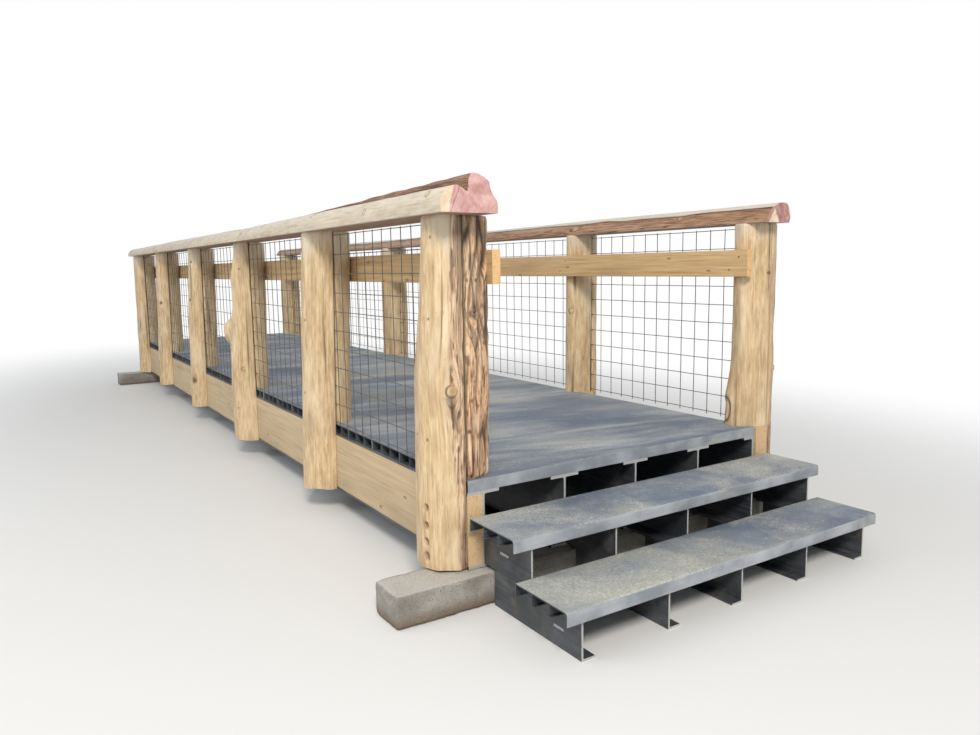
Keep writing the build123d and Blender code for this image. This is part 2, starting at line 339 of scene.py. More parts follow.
def cast_block(low, high, seed):
    """A box of small faces, with its edges worn round and its sides roughened inwards."""
    low, high = np.array(low), np.array(high)
    counts = np.maximum(2, np.round((high - low) / footing_pitch).astype(int))
    grid, faces = box_faces(counts)
    at = low + (high - low) * grid / counts
    wear = arris_radius * (1.4 + waver(at[:, 1] * 21, at[:, 0] * 17 + at[:, 2] * 23, seed))[:, None]
    core = np.clip(at, low + wear, high - wear)
    arm = at - core
    at = core + arm / np.linalg.norm(arm, axis=1, keepdims=True) * wear
    dents = waver(at[:, 1] * 26, (at[:, 0] + at[:, 2]) * 26, seed + 1)
    dents += 0.6 * waver(at[:, 1] * 60, (at[:, 0] - at[:, 2]) * 60, seed + 2)
    inward = np.sign((low + high) / 2 - at) * (np.abs(at - core) > 1e-6)
    at += inward * (dent_depth * (1.6 + dents))[:, None]
    at[:, 2] = np.clip(at[:, 2], low[2], high[2] - seat_clearance)
    mesh = bpy.data.meshes.new("cast_block")
    mesh.from_pydata(at.tolist(), [], faces)
    mesh.shade_smooth()
    return mesh


concrete, tree, shader, place = new_finish("cast_concrete")
broad = noise_at(tree, place, (6, 6, 9), 5)
sandy = noise_at(tree, place, (160, 160, 160), 3)
cells = add_node(tree, "ShaderNodeTexVoronoi", {"Vector": place, "Scale": 95.0}, feature="F1")
pit = fade(tree, cells.outputs["Distance"], 0.10, 0.22, 1.0, 0.0)
height_up = parts_of(tree, place)["Z"]
soil = plus(tree, fade(tree, height_up, 0.0, 0.07, 0.75, 0.0), fade(tree, broad, 0.55, 0.85, 0.0, 0.25))
tone = coated(
    tree, ramp(tree, broad, (0.30, 0.50, 0.72), concrete_greys),
    # Faces that look up are painted paler: painted sunlight on the top
    (fade(tree, facing_up(tree), 0.5, 0.9, 0.0, 0.65), top_painted_light),
    (fade(tree, sandy, 0.45, 0.75, 0.0, 0.45), sand_brown),
    (soil, soil_brown),
    (times(tree, pit, 0.5), pit_brown),
)
relief = minus(tree, plus(tree, times(tree, sandy, 0.5), broad), times(tree, pit, 0.8))
dress(tree, shader, tone, 0.88, relief, 0.003)
for name, seed in (("front_footing", 11), ("back_footing", 18)):
    mesh = cast_block(*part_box(name), seed)
    show(name.replace("footing", "sill"), mesh, "concrete", (name,), concrete)

# Beams: four pultruded fiberglass I-beams and an edge channel under the right side, cut to the length
# of the deck and laid on the sills. The surface is smooth and dark, and the sawn ends show pale glass.
beam_depth = 0.323
beam_flange = 0.152
flange_thickness = 0.013
web_thickness = 0.010
root_radius = 0.010
beam_ease = 0.002
beam_stations = 8
beam_places = (-0.804, -0.383, 0.038, 0.459)
beam_low = 0.140
half_deck = 0.880
deck_back = -7.769
# Turn in degrees up to which a surface looks smooth
smooth_turn = 32
glass_streak = srgb(122, 128, 136)
broken_glass = ((128, 130, 132), (186, 188, 186), (214, 214, 208))
saw_mark = srgb(96, 98, 102)


origin = (0.0, 0.0, 0.0)
socket_kinds = {
    float: "NodeSocketFloat", int: "NodeSocketInt", tuple: "NodeSocketVector",
    bpy.types.Material: "NodeSocketMaterial", type(None): "NodeSocketGeometry",
}


def sockets_of(group, direction, values):
    """Give a node group named sockets, each of its value's kind and with that value in it."""
    for label, value in values.items():
        kind = socket_kinds[type(value)]
        socket = group.interface.new_socket(label, in_out=direction, socket_type=kind)
        if value is not None:
            socket.default_value = value


def new_group(name, inputs, outputs):
    """An empty shader node group, the outputs of its input node and its output node."""
    group = bpy.data.node_groups.new(name, "ShaderNodeTree")
    sockets_of(group, "INPUT", inputs)
    sockets_of(group, "OUTPUT", outputs)
    return group, add_node(group, "NodeGroupInput").outputs, add_node(group, "NodeGroupOutput")


def give_out(group, made, **values):
    """Wire values to the outputs of a group."""
    for label, value in values.items():
        group.links.new(value, made.inputs[label])


def use_group(tree, group, inputs):
    """The outputs of a group in a tree, with its inputs set."""
    return add_node(tree, "ShaderNodeGroup", inputs, node_tree=group).outputs


def counted_in(tree, place, size):
    """A place counted in patches or streaks of a size."""
    sockets = {0: place, "Scale": maths(tree, "DIVIDE", 1.0, size)}
    return add_node(tree, "ShaderNodeVectorMath", sockets, operation="SCALE").outputs[0]


def eased_outline(corners, radius, steps=3):
    """Corners of an outline rounded off by a radius, or by one radius for each."""
    count = len(corners)
    radii = radius if isinstance(radius, (list, tuple)) else [radius] * count
    points = []
    for index, (corner, size) in enumerate(zip(corners, radii)):
        here = Vector(corner)
        back = Vector(corners[index - 1]) - here
        forward = Vector(corners[(index + 1) % count]) - here
        size = min(size, 0.45 * back.length, 0.45 * forward.length)
        if size <= 0:
            points.append(tuple(here))
            continue
        start, end = here + back.normalized() * size, here + forward.normalized() * size
        for step in range(steps + 1):
            share = step / steps
            points.append(tuple(start * (1 - share) ** 2 + here * 2 * share * (1 - share) + end * share ** 2))
    return points


def prism(outline, axis, start, end, stations):
    """A closed bar: an outline in the two other axes, in X, Y, Z order, drawn out along one axis.

    Its ends are of the second material.
    """
    area = sum(a[0] * b[1] - b[0] * a[1] for a, b in zip(outline, outline[1:] + outline[:1]))
    if (area > 0) != (axis == 1):
        outline = outline[::-1]
    places, faces = [], []
    count = len(outline)
    for station in range(stations + 1):
        for point in outline:
            point = list(point)
            point.insert(axis, start + (end - start) * station / stations)
            places.append(tuple(point))
    for low in range(0, stations * count, count):
        for index in range(count):
            after = (index + 1) % count
            faces.append((low + after, low + index, low + count + index, low + count + after))
    faces.append(tuple(range(count)))
    faces.append(tuple(range(stations * count, (stations + 1) * count))[::-1])
    return places, faces, [0] * (len(faces) - 2) + [1] * 2


def gather(name, bars):
    """One mesh out of several bars, smooth only over small turns."""
    places, faces, materials = [], [], []
    for bar_places, bar_faces, bar_materials in bars:
        base = len(places)
        places += bar_places
        faces += [tuple(base + index for index in face) for face in bar_faces]
        materials += bar_materials
    mesh = bpy.data.meshes.new(name)
    mesh.from_pydata(places, [], faces)
    mesh.polygons.foreach_set("material_index", materials)
    mesh.shade_smooth()
    mesh.set_sharp_from_angle(angle=math.radians(smooth_turn))
    return mesh


# Dust and dried mud: Place in metres, Size of the patches, Amount from 0 to 1
dust_patches, given, made = new_group(
    "dust_patches", {"Place": origin, "Size": 0.2, "Amount": 0.5}, {"Mask": 0.0, "Grit": 0.0},
)
unit = counted_in(dust_patches, given["Place"], given["Size"])
patch = noise_at(dust_patches, unit, (1.0, 0.45, 1.0), 5, 0.62, 0.5)
grit = noise_at(dust_patches, given["Place"], (900, 900, 900), 2, 0.6)
edge = minus(dust_patches, 0.72, times(dust_patches, given["Amount"], 0.4))
rough_patch = plus(dust_patches, patch, times(dust_patches, grit, 0.10))
mask = fade(dust_patches, rough_patch, edge, plus(dust_patches, edge, 0.16))
give_out(dust_patches, made, Mask=mask, Grit=grit)


def pultruded_finish(name, light, dark, dusty, along, dust_colour):
    """Smooth pultruded fiberglass: faint streaks of glass along the bar, scuffs and dust."""
    material, tree, shader, place = new_finish(name)
    stretch = [170.0, 170.0, 170.0]
    stretch[along] = 4.0
    streak = noise_at(tree, place, stretch, 3)
    cloud = noise_at(tree, place, (5, 5, 5), 4)
    dust = use_group(tree, dust_patches, {"Place": place, "Size": 0.16, "Amount": dusty})
    colour = coated(
        tree, dark,
        (fade(tree, cloud, 0.35, 0.70), light),
        (fade(tree, streak, 0.45, 0.80, 0.0, 0.35), glass_streak),
        (times(tree, dust["Mask"], 0.55), dust_colour),
    )
    roughness = fade(tree, plus(tree, streak, dust["Mask"]), 0.3, 1.2, 0.38, 0.75)
    dress(tree, shader, colour, roughness, plus(tree, streak, times(tree, dust["Grit"], 0.4)), 0.0005)
    return material


def glass_end_finish(name, tone):
    """Sawn end of a fiberglass bar: pale broken glass over grey resin."""
    material, tree, shader, place = new_finish(name)
    glass = noise_at(tree, place, (700, 700, 700), 2)
    saw = noise_at(tree, place, (90, 90, 500), 2)
    greys = [srgb(*(tone * channel for channel in grey)) for grey in broken_glass]
    colour = coated(
        tree, ramp(tree, glass, (0.35, 0.55, 0.70), greys),
        (fade(tree, saw, 0.55, 0.75, 0.0, 0.5), saw_mark),
    )
    dress(tree, shader, colour, 0.7, glass, 0.0004)
    return material


beam_resin = pultruded_finish("beam_resin", srgb(76, 80, 85), srgb(46, 50, 56), 0.35, 0, srgb(124, 116, 100))
glass_end = glass_end_finish("sawn_glass_end", 1.0)


def with_roots(corners, sharp, root, inner):
    """An outline whose corners are eased, with a wider radius where the flanges meet the web."""
    return eased_outline(corners, [root if index in inner else sharp for index in range(len(corners))], 4)


def lay_beam(name, node, y, corners, inner):
    """A bar along the whole deck, its section given across and up from the place y."""
    section = with_roots(corners, beam_ease, root_radius, inner)
    outline = [(y + across, beam_low + up) for across, up in section]
    mesh = gather(name, [prism(outline, 0, deck_back, 0.0, beam_stations)])
    show(name, mesh, "fiberglass", (node,), beam_resin, glass_end)


half_flange, half_web = beam_flange / 2, web_thickness / 2
low_flange, high_flange = flange_thickness, beam_depth - flange_thickness
right_half = [
    (half_flange, 0), (half_flange, low_flange), (half_web, low_flange),
    (half_web, high_flange), (half_flange, high_flange), (half_flange, beam_depth),
]
i_corners = [(-half_flange, 0)] + right_half + [(-across, up) for across, up in right_half[:0:-1]]
channel_corners = [
    (0, 0), (0, beam_depth), (-half_flange, beam_depth), (-half_flange, high_flange),
    (-flange_thickness, high_flange), (-flange_thickness, low_flange),
    (-half_flange, low_flange), (-half_flange, 0),
]
for number, y in enumerate(beam_places, start=1):
    lay_beam(f"fiberglass_beam_{number}", f"beam_{number}", y, i_corners, (3, 4, 9, 10))
lay_beam("fiberglass_channel", "edge_channel", half_deck, channel_corners, (4, 5))

# Side boards: sawn cedar, unpainted. The left board is let in between the flanges of the outer beam,
# the right boards are screwed to the back of the edge channel between the blocks that carry the posts.
board_eases = {"left_side_board": 0.002, "right_side_boards": 0.0025, "right_post_blocks": 0.004}
board_step = 0.4
side_board_tones = (srgb(182, 158, 124), srgb(195, 172, 138), srgb(205, 183, 149))
board_dirt = srgb(150, 132, 104)
growth_line = srgb(136, 102, 68)
knot_brown = srgb(140, 102, 68)
knot_ring = srgb(82, 52, 32)
pore_brown = srgb(120, 88, 58)

# Grain of a plank or log: Place is in metres, X across the grain and Y along it
wood_grain, given, made = new_group(
    "wood_grain", {"Place": origin, "Streak Width": 0.008}, {"Tone": 0.0, "Fibre": 0.0, "Line": 0.0},
)
unit = counted_in(wood_grain, given["Place"], given["Streak Width"])
tone = noise_at(wood_grain, unit, (1.0, 0.030, 1.0), 5, 0.6, 0.25)
fibre = noise_at(wood_grain, unit, (6.0, 0.13, 6.0), 2)
contour = noise_at(wood_grain, unit, (0.55, 0.010, 0.55), 3, 0.5, 0.3)
near_line = maths(wood_grain, "ABSOLUTE", minus(wood_grain, contour, 0.5))
broken = fade(wood_grain, noise_at(wood_grain, unit, (0.20, 0.035, 0.20), 2), 0.48, 0.60)
line = times(wood_grain, fade(wood_grain, near_line, 0.003, 0.016, 1.0, 0.0), broken)
give_out(wood_grain, made, Tone=tone, Fibre=fibre, Line=line)


def vector_of(tree, **parts):
    """Vector output made of the parts X, Y and Z, of which those not given are 0."""
    return add_node(tree, "ShaderNodeCombineXYZ", parts).outputs[0]


# Knots of sawn boards: grain that bends round oval spots, one for each cell of a stretched pattern
board_knots, given, made = new_group(
    "board_knots", {"Place": origin, "Spacing": 0.35, "Radius": 0.014},
    {"Place": origin, "Knot": 0.0, "Ring": 0.0},
)
squeezed = vectors(board_knots, "MULTIPLY", given["Place"], (1.0, 0.42, 1.0))
per_spacing = maths(board_knots, "DIVIDE", 1.0, given["Spacing"])
sockets = {"Vector": squeezed, "Scale": per_spacing, "Randomness": 0.9}
cells = add_node(board_knots, "ShaderNodeTexVoronoi", sockets, voronoi_dimensions="2D")
aside = parts_of(board_knots, vectors(board_knots, "SUBTRACT", squeezed, cells.outputs["Position"]))
distance = length_of(board_knots, vector_of(board_knots, X=aside["X"], Y=aside["Y"]))
in_radii = maths(board_knots, "DIVIDE", plus(board_knots, distance, 0.0005), given["Radius"])
pull = maths(board_knots, "DIVIDE", 1.3, times(board_knots, in_radii, in_radii))
pull = maths(board_knots, "MINIMUM", pull, 0.9)
shift = times(board_knots, times(board_knots, aside["X"], pull), -1.0)
bent = vectors(board_knots, "ADD", given["Place"], vector_of(board_knots, X=shift))
spot = fade(board_knots, in_radii, 0.75, 1.15, 1.0, 0.0)
ring = maths(board_knots, "SINE", times(board_knots, in_radii, 14.0))
give_out(board_knots, made, Place=bent, Knot=spot, Ring=times(board_knots, ring, spot))


def sawn_finish(name, tones, streak, spacing, knot_radius):
    """Sawn timber: grain along X, knots, saw marks across the board and a little dirt."""
    material, tree, shader, place = new_finish(name)
    parts = parts_of(tree, place)
    across = plus(tree, parts["Z"], times(tree, parts["Y"], 0.83))
    board_place = vector_of(tree, X=across, Y=parts["X"], Z=parts["Y"])
    knotted = use_group(tree, board_knots, {"Place": board_place, "Spacing": spacing, "Radius": knot_radius})
    grain = use_group(tree, wood_grain, {"Place": knotted["Place"], "Streak Width": streak})
    blotch = noise_at(tree, place, (1.4, 5.0, 7.0), 3)
    colour = coated(
        tree, ramp(tree, grain["Tone"], (0.30, 0.48, 0.68), tones),
        (fade(tree, blotch, 0.45, 0.75, 0.0, 0.35), board_dirt),
        (times(tree, grain["Line"], 0.16), growth_line),
        (times(tree, knotted["Knot"], 0.6), knot_brown),
        (fade(tree, knotted["Ring"], 0.2, 0.9, 0.0, 0.5), knot_ring),
    )
    sockets = {"Vector": place, "Scale": 46.0, "Distortion": 1.2, "Detail": 1.0}
    saw = add_node(tree, "ShaderNodeTexWave", sockets, bands_direction="X").outputs["Fac"]
    relief = plus(tree, times(tree, grain["Fibre"], 0.5), times(tree, saw, 0.12))
    relief = minus(tree, relief, times(tree, grain["Line"], 0.5))
    dress(tree, shader, colour, fade(tree, grain["Fibre"], 0.2, 0.8, 0.62, 0.8), relief, 0.0007)
    return material


def end_grain_finish(name, light, deep):
    """Sawn end of a board or log: rings across the end and fine pores."""
    material, tree, shader, place = new_finish(name)
    pores = noise_at(tree, place, (60, 60, 60), 2, 0.5, 1.2)
    sockets = {"Vector": place, "Scale": 38.0, "Distortion": 3.0, "Detail": 2.0}
    rings = add_node(tree, "ShaderNodeTexWave", sockets, wave_type="RINGS").outputs["Fac"]
    colour = coated(
        tree, light,
        (fade(tree, rings, 0.2, 0.9, 0.0, 0.45), deep),
        (fade(tree, pores, 0.5, 0.8, 0.0, 0.4), pore_brown),
    )
    dress(tree, shader, colour, 0.8, pores, 0.0006)
    return material


def rectangle(low, high):
    """Corners of a rectangle between two corners."""
    return [(low[0], low[1]), (high[0], low[1]), (high[0], high[1]), (low[0], high[1])]


side_board_wood = sawn_finish("side_board_wood", side_board_tones, 0.013, 0.30, 0.009)
board_end = end_grain_finish("board_end_grain", srgb(218, 188, 146), srgb(190, 154, 110))
for name, ease in board_eases.items():
    corners = np.array([tuple(vertex.co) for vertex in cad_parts[name].data.vertices])
    stops = np.unique(np.round(corners[:, 0], 4))
    bars = []
    for back, front in zip(stops[0::2], stops[1::2]):
        board = corners[(corners[:, 0] > back - 0.001) & (corners[:, 0] < front + 0.001)]
        low, high = board.min(axis=0), board.max(axis=0)
        outline = eased_outline(rectangle(low[1:], high[1:]), ease, 2)
        stations = max(1, int((front - back) / board_step))
        bars.append(prism(outline, 0, float(back), float(front), stations))
    piece = name.replace("side_board", "cedar_board").replace("post_blocks", "cedar_blocks")
    show(piece, gather(name, bars), "sawn_timber", (name,), side_board_wood, board_end)

# Deck: twenty-five pultruded planks with ribs and open cells underneath, clipped side by side across
# the beams. Sand is bonded to the walking face, which is worn, scuffed and streaked with pale dust;
# part of its pale streaks is painted dappled sunlight and part of its darker clouds painted tree shade.
plank_width = 0.305
plank_pitch = 0.311
plank_depth = 0.051
plank_count = 25
plank_stations = 6
plank_skin = 0.005
rib_thickness = 0.004
rib_flange = 0.026
plank_lip = 0.0048
walk_level = 0.514
plank_gap = 0.0015
front_ease = 0.003
rear_ease = 0.0012
rib_root = 0.003
flange_ease = 0.001
edge_ease = 0.0008
# How far back the pale front of a plank reaches, with painted sky highlight and some wear, and how squarely a
# face looks up or ahead
pale_front_reach = 0.02
square_on = 0.6
# How far a plank may lie from its place, at least and at most
plank_shake = ((0.0, -0.0015, -0.0004), (0.0, 0.0015, 0.0))
plank_seed = 4
stripe_turn = math.radians(8)
grain_blue = srgb(150, 162, 178)
speck_dark = srgb(62, 70, 82)
dust_yellow = srgb(184, 180, 160)
scuff_white = srgb(214, 218, 220)


def gritted_finish(name, light, dark, stripe_scale, stripe_edge, stripe_fade, chalk_and_dapple_colour):
    """Walking face with bonded sand: bluish resin between the grains, pale dust in specks and in streaks that
    are partly painted sunlight, and clouds partly painted tree shade.
    """
    material, tree, shader, place = new_finish(name)
    dust = use_group(tree, dust_patches, {"Place": place, "Size": 0.42, "Amount": 0.45})
    sockets = {"Vector": place, "Rotation": (0.0, 0.0, stripe_turn)}
    turned = add_node(tree, "ShaderNodeMapping", sockets).outputs[0]
    stripes = noise_at(tree, turned, stripe_scale, 6, 0.66, 0.35)
    crumbs = noise_at(tree, place, (150, 90, 150), 5, 0.80)
    scuffs = noise_at(tree, place, (130, 60, 130), 2, 0.6)
    grains = noise_at(tree, place, (420, 420, 420), 2, 0.7)
    specks = noise_at(tree, place, (150, 150, 150), 3, 0.7)
    cloud = noise_at(tree, place, (2.2, 1.2, 2.2), 4)
    spread = fade(tree, stripes, stripe_edge - 0.06, stripe_edge + stripe_fade)
    # The pale streaks are partly chalky dust and partly painted dappled sunlight
    chalk_and_sun_dapples = times(tree, spread, fade(tree, crumbs, 0.38, 0.60, 0.14, 1.0))
    colour = coated(
        tree, dark,
        # Broad clouds of light and dark, partly painted tree shade
        (fade(tree, cloud, 0.35, 0.68), light),
        (fade(tree, grains, 0.40, 0.72, 0.0, 0.45), grain_blue),
        (fade(tree, specks, 0.52, 0.70, 0.0, 0.55), speck_dark),
        (times(tree, chalk_and_sun_dapples, 0.74), chalk_and_dapple_colour),
        (times(tree, dust["Mask"], 0.30), dust_yellow),
        (fade(tree, scuffs, 0.66, 0.74, 0.0, 0.75), scuff_white),
    )
    relief = plus(tree, grains, times(tree, specks, 0.8))
    dress(tree, shader, colour, fade(tree, grains, 0.3, 0.7, 0.62, 0.85), relief, 0.0013)
    return material


def plank_corners(width, nose, lip):
    """Outline of a plank seen from its left end, and how far each corner is eased.

    X goes back from its front edge and Z down from its top.
    """
    rib, skin, foot = rib_thickness, -plank_skin, -plank_depth
    corners = [(0.0, 0.0, nose), (0.0, foot, edge_ease), (-rib, foot, edge_ease), (-rib, skin, rib_root)]
    half_rib = [
        (rib / 2, skin, rib_root), (rib / 2, foot + rib, flange_ease),
        (rib_flange / 2, foot + rib, flange_ease), (rib_flange / 2, foot, edge_ease),
    ]
    for number in (1, 2):
        middle = -rib / 2 - (width - rib) / 3 * number
        corners += [(middle + x, z, ease) for x, z, ease in half_rib]
        corners += [(middle - x, z, ease) for x, z, ease in reversed(half_rib)]
    corners += [(rib - width, skin, rib_root), (rib - width, foot, edge_ease), (-width, foot, edge_ease)]
    if lip:
        corners += [(-width, skin, flange_ease), (-width - lip, skin, edge_ease)]
    corners.append((-width - lip, 0.0, rear_ease))
    return [(x, z) for x, z, ease in corners], [ease for x, z, ease in corners]


def plank_mesh(name, front, top, left, right, width, nose, lip):
    """A plank across the bridge; the third material covers its walking face, the fourth its front."""
    outline = [(front + x, top + z) for x, z in eased_outline(*plank_corners(width, nose, lip), 5)]
    mesh = gather(name, [prism(outline, 1, left, right, plank_stations)])
    for face in mesh.polygons:
        if face.material_index:
            continue
        if face.normal.z > square_on and face.center.z > top - plank_skin:
            face.material_index = 2
        elif face.normal.x > square_on and face.center.x > front - pale_front_reach:
            face.material_index = 3
    return mesh


def repeat_along(name, mesh, inputs, build):
    """A plain mesh made by a Geometry Nodes tree from a start mesh and named inputs."""
    tree = bpy.data.node_groups.new(name, "GeometryNodeTree")
    sockets_of(tree, "INPUT", {"Piece": None, **inputs})
    sockets_of(tree, "OUTPUT", {"Piece": None})
    given, made = add_node(tree, "NodeGroupInput"), add_node(tree, "NodeGroupOutput")
    tree.links.new(build(tree, given.outputs), made.inputs[0])
    holder = bpy.data.objects.new(name, mesh)
    scene.collection.objects.link(holder)
    modifier = holder.modifiers.new(name, "NODES")
    modifier.node_group = tree
    identifiers = {item.name: item.identifier for item in tree.interface.items_tree if item.in_out == "INPUT"}
    for label, value in inputs.items():
        modifier[identifiers[label]] = value
    bpy.context.view_layer.update()
    evaluated = holder.evaluated_get(bpy.context.evaluated_depsgraph_get())
    plain = bpy.data.meshes.new_from_object(evaluated)
    holder.modifiers.remove(modifier)
    bpy.data.objects.remove(holder)
    plain.name = name
    return plain


def copies_on(tree, points, piece, turn=(0.0, 0.0, 0.0)):
    """Real copies of a piece on points."""
    sockets = {"Points": points, "Instance": piece, "Rotation": turn}
    copies = add_node(tree, "GeometryNodeInstanceOnPoints", sockets).outputs[0]
    return add_node(tree, "GeometryNodeRealizeInstances", {0: copies}).outputs[0]


def plank_row(tree, given):
    """Planks side by side, each a hair out of its place across the bridge and down."""
    sockets = {"Count": given["Count"], "Offset": vector_of(tree, X=given["Pitch"])}
    line = add_node(tree, "GeometryNodeMeshLine", sockets).outputs[0]
    sockets = {0: plank_shake[0], 1: plank_shake[1], "Seed": given["Seed"]}
    shake = add_node(tree, "FunctionNodeRandomValue", sockets, data_type="FLOAT_VECTOR").outputs[0]
    shaken = add_node(tree, "GeometryNodeSetPosition", {"Geometry": line, "Offset": shake}).outputs[0]
    return copies_on(tree, shaken, given["Piece"])


deck_grit = gritted_finish(
    "gritted_deck", srgb(122, 132, 147), srgb(86, 97, 114), (3.4, 0.8, 3.4), 0.47, 0.24, srgb(224, 223, 214),
)
# Plank resin and plank ends are darker than the walking face, partly the resin's own grey and partly painted
# shade under the deck and treads; the ends take the sawn glass at 0.40 of its tone
plank_resin = pultruded_finish(
    "plank_resin", srgb(74, 80, 88), srgb(50, 55, 62), 0.4, 1, srgb(116, 112, 102),
)
# The fronts of planks and treads are painted pale: painted sky highlight on the rounded noses, with some wear
nose_face = pultruded_finish(
    "nose_wear_and_highlight", srgb(172, 176, 182), srgb(128, 134, 142), 0.35, 1, srgb(190, 188, 178),
)
plank_end = glass_end_finish("plank_end", 0.40)
plank_end_y = half_deck - plank_gap
first_plank = plank_mesh(
    "first_plank", 0.0, walk_level, -plank_end_y, plank_end_y, plank_width, front_ease, plank_lip,
)
for material in (plank_resin, plank_end, deck_grit, nose_face):
    first_plank.materials.append(material)
inputs = {"Pitch": -plank_pitch, "Count": plank_count, "Seed": plank_seed}
deck_mesh = repeat_along("deck_planking", first_plank, inputs, plank_row)
show("deck_planking", deck_mesh, "fiberglass", ("deck_planks",))

# Posts: twelve peeled cedar logs, each sawn lengthways in two. The outer half is bolted to the side
# of the deck, the inner half stands on the planks, and the wire mesh is clamped in the slot between
# them. They are hewn with a drawknife, so knots, furrows and strips of bark are left on them.
post_top = 1.566
waist = 0.944
chest = 1.255
slot_width = 0.0094
rail_low = 1.297
rail_high = 1.433
# Height of the sawn edges of a notch, and how much they may miss a ring of points
notch_edge = 0.0004
notch_slack = 0.0002
# Each row: the way it faces, Y of its sawn faces, X of its front and how far a notched half reaches;
# then for each post its shift and lean along the bridge, half width at foot, waist and head, depth of
# the inner half, lift of the foot and distance between the points of its surface
post_rows = {
    "left": {
        "side": -1, "split": 0.880, "front": 0.0, "reach": 0.121,
        "shift": (0, 0.102, 0.058, -0.005, -0.069, 0),
        "lean": (0, 0.060, -0.006, 0.064, 0.080, 0),
        "foot": (0.143, 0.141, 0.133, 0.114, 0.123, 0.112),
        "waist": (0.136, 0.131, 0.120, 0.107, 0.108, 0.107),
        "head": (0.108, 0.121, 0.080, 0.088, 0.099, 0.101),
        "depth": (0.142, 0.127, 0.124, 0.126, 0.124, 0.126),
        "lift": (0.0003, -0.004, -0.011, 0.003, 0.014, 0.0003),
        "pitch": (0.0036, 0.0060, 0.0062, 0.0086, 0.0095, 0.0098),
    },
    "right": {
        "side": 1, "split": 0.966, "front": 0.017, "reach": 0.1286,
        "shift": (0, 0.090, 0.108, 0.201, 0.203, 0),
        "lean": (0, 0.010, 0, 0.024, 0, 0),
        "foot": (0.104, 0.092, 0.108, 0.117, 0.112, 0.112),
        "waist": (0.098, 0.088, 0.102, 0.113, 0.108, 0.108),
        "head": (0.092, 0.084, 0.094, 0.104, 0.100, 0.100),
        "depth": (0.136, 0.132, 0.134, 0.135, 0.134, 0.134),
        "lift": (0.0003, 0.004, -0.006, 0.008, -0.003, 0.0003),
        "pitch": (0.0054, 0.0086, 0.0098, 0.0110, 0.0112, 0.0112),
    },
}
# Levels above the deck and how far the log swells there
swells = {
    "left_post_1": ((-0.374, 0.0, 0.30, 0.44, 0.70, 1.05), (0.0, 0.001, 0.001, 0.002, -0.005, 0.0)),
    "left_post_3": (
        (-0.374, 0.0, 0.16, 0.33, 0.60, 0.72, 0.79, 0.86, 0.96, 1.05),
        (-0.004, 0.010, 0.008, 0.003, -0.004, 0.004, 0.012, 0.006, -0.003, -0.003),
    ),
}
# Knots: which half, turn from the front in degrees, level, radius, how far they stand out
knots = {
    "left_post_1": (("outer", 23, 0.366, 0.022, 0.006), ("inner", 14, 0.660, 0.012, 0.003)),
    "left_post_2": (("outer", 109, 0.958, 0.014, -0.004), ("inner", 30, 0.40, 0.012, 0.002)),
    "left_post_3": (("outer", 88, 0.300, 0.015, 0.003), ("outer", 35, 0.15, 0.012, 0.002)),
    "left_post_4": (
        ("outer", 57, -0.120, 0.022, -0.006), ("outer", 56, 0.936, 0.010, -0.004),
        ("outer", 70, 0.604, 0.011, -0.004),
    ),
    "left_post_5": (("outer", 49, 0.530, 0.016, -0.004), ("outer", 77, -0.106, 0.012, -0.004)),
    "right_post_1": (("outer", 40, 0.3, 0.016, 0.004), ("inner", 5, 0.80, 0.009, -0.004)),
    "right_post_2": (("inner", 70, 0.55, 0.016, 0.003),),
    "right_post_3": (("inner", 62, 0.72, 0.018, -0.006), ("inner", 40, 0.25, 0.014, 0.003)),
}
# A knot that stands back further than this is open and dark
open_knot = -0.003
# Small dark nail holes: which half, turn in degrees, level
nail_marks = {
    "left_post_1": (
        ("outer", 71, 0.652), ("outer", 70, 0.170), ("outer", 102, 0.182), ("outer", 70, 0.968),
    ),
    "left_post_2": (("outer", 82, 0.175), ("outer", 78, 0.580)),
    "left_post_3": (("outer", 43, 0.866), ("outer", 63, -0.138)),
}
nail_mark_radius = 0.0052
# Turn of one arris between two flats, and how many flats the half log has
first_arris = {"left_post_1": (50, 5), "left_post_2": (33, 7), "right_post_1": (47, 5)}
usual_flats = 7
# How many drying cracks a log has, and how many where its points are closer together than fine_pitch
crack_count = 2
fine_crack_count = 5
fine_pitch = 0.0065
crack_depth = 0.0025
bolt_turn = 75
bolt_clearance = 16
# Level of each bolt hole and its size against the first
bolt_holes = ((-0.112, 1.0), (-0.187, 1.0), (-0.257, 1.1), (-0.320, 1.3))
bolt_hole_width = 0.0105
bolt_hole_height = 0.0150
bolt_hole_depth = 0.016
# Branch stub of the third left post: turn, level, half width, how far up and down it runs, length
stub_turn = 116
stub_level = 0.440
stub_width = 0.062
stub_above = 0.060
stub_below = 0.105
stub_length = 0.052
# Burl of the first right post: turn, level, half width and half height of its bark, how far it swells
burl_turn = 112
burl_level = 0.085
burl_width = 0.030
burl_height = 0.070
burl_swell = 0.030
sliver_turn = 124
# The head is trimmed over this height under the cap rail, and the foot cut askew over this height
trim_height = 0.016
trim_depth = 0.003
askew_height = 0.03
askew_rise = 0.010
slot_shade = 0.35


def post_front(row, number, height):
    """Front edge of a post at a height."""
    bay = (deck_back + 2 * row["waist"][-1] - row["front"]) / 5
    lean = row["lean"][number] * (height - walk_level) / (post_top - walk_level)
    return row["front"] + bay * number + row["shift"][number] + lean


def half_width(row, number, height):
    """Half width of a post at a height."""
    sizes = (row["foot"][number], row["waist"][number], row["head"][number])
    return np.interp(height, (beam_low, waist, post_top), sizes)


def post_middle(row, number):
    """X of the middle of a post where it passes the deck."""
    return float(post_front(row, number, walk_level) - half_width(row, number, walk_level))


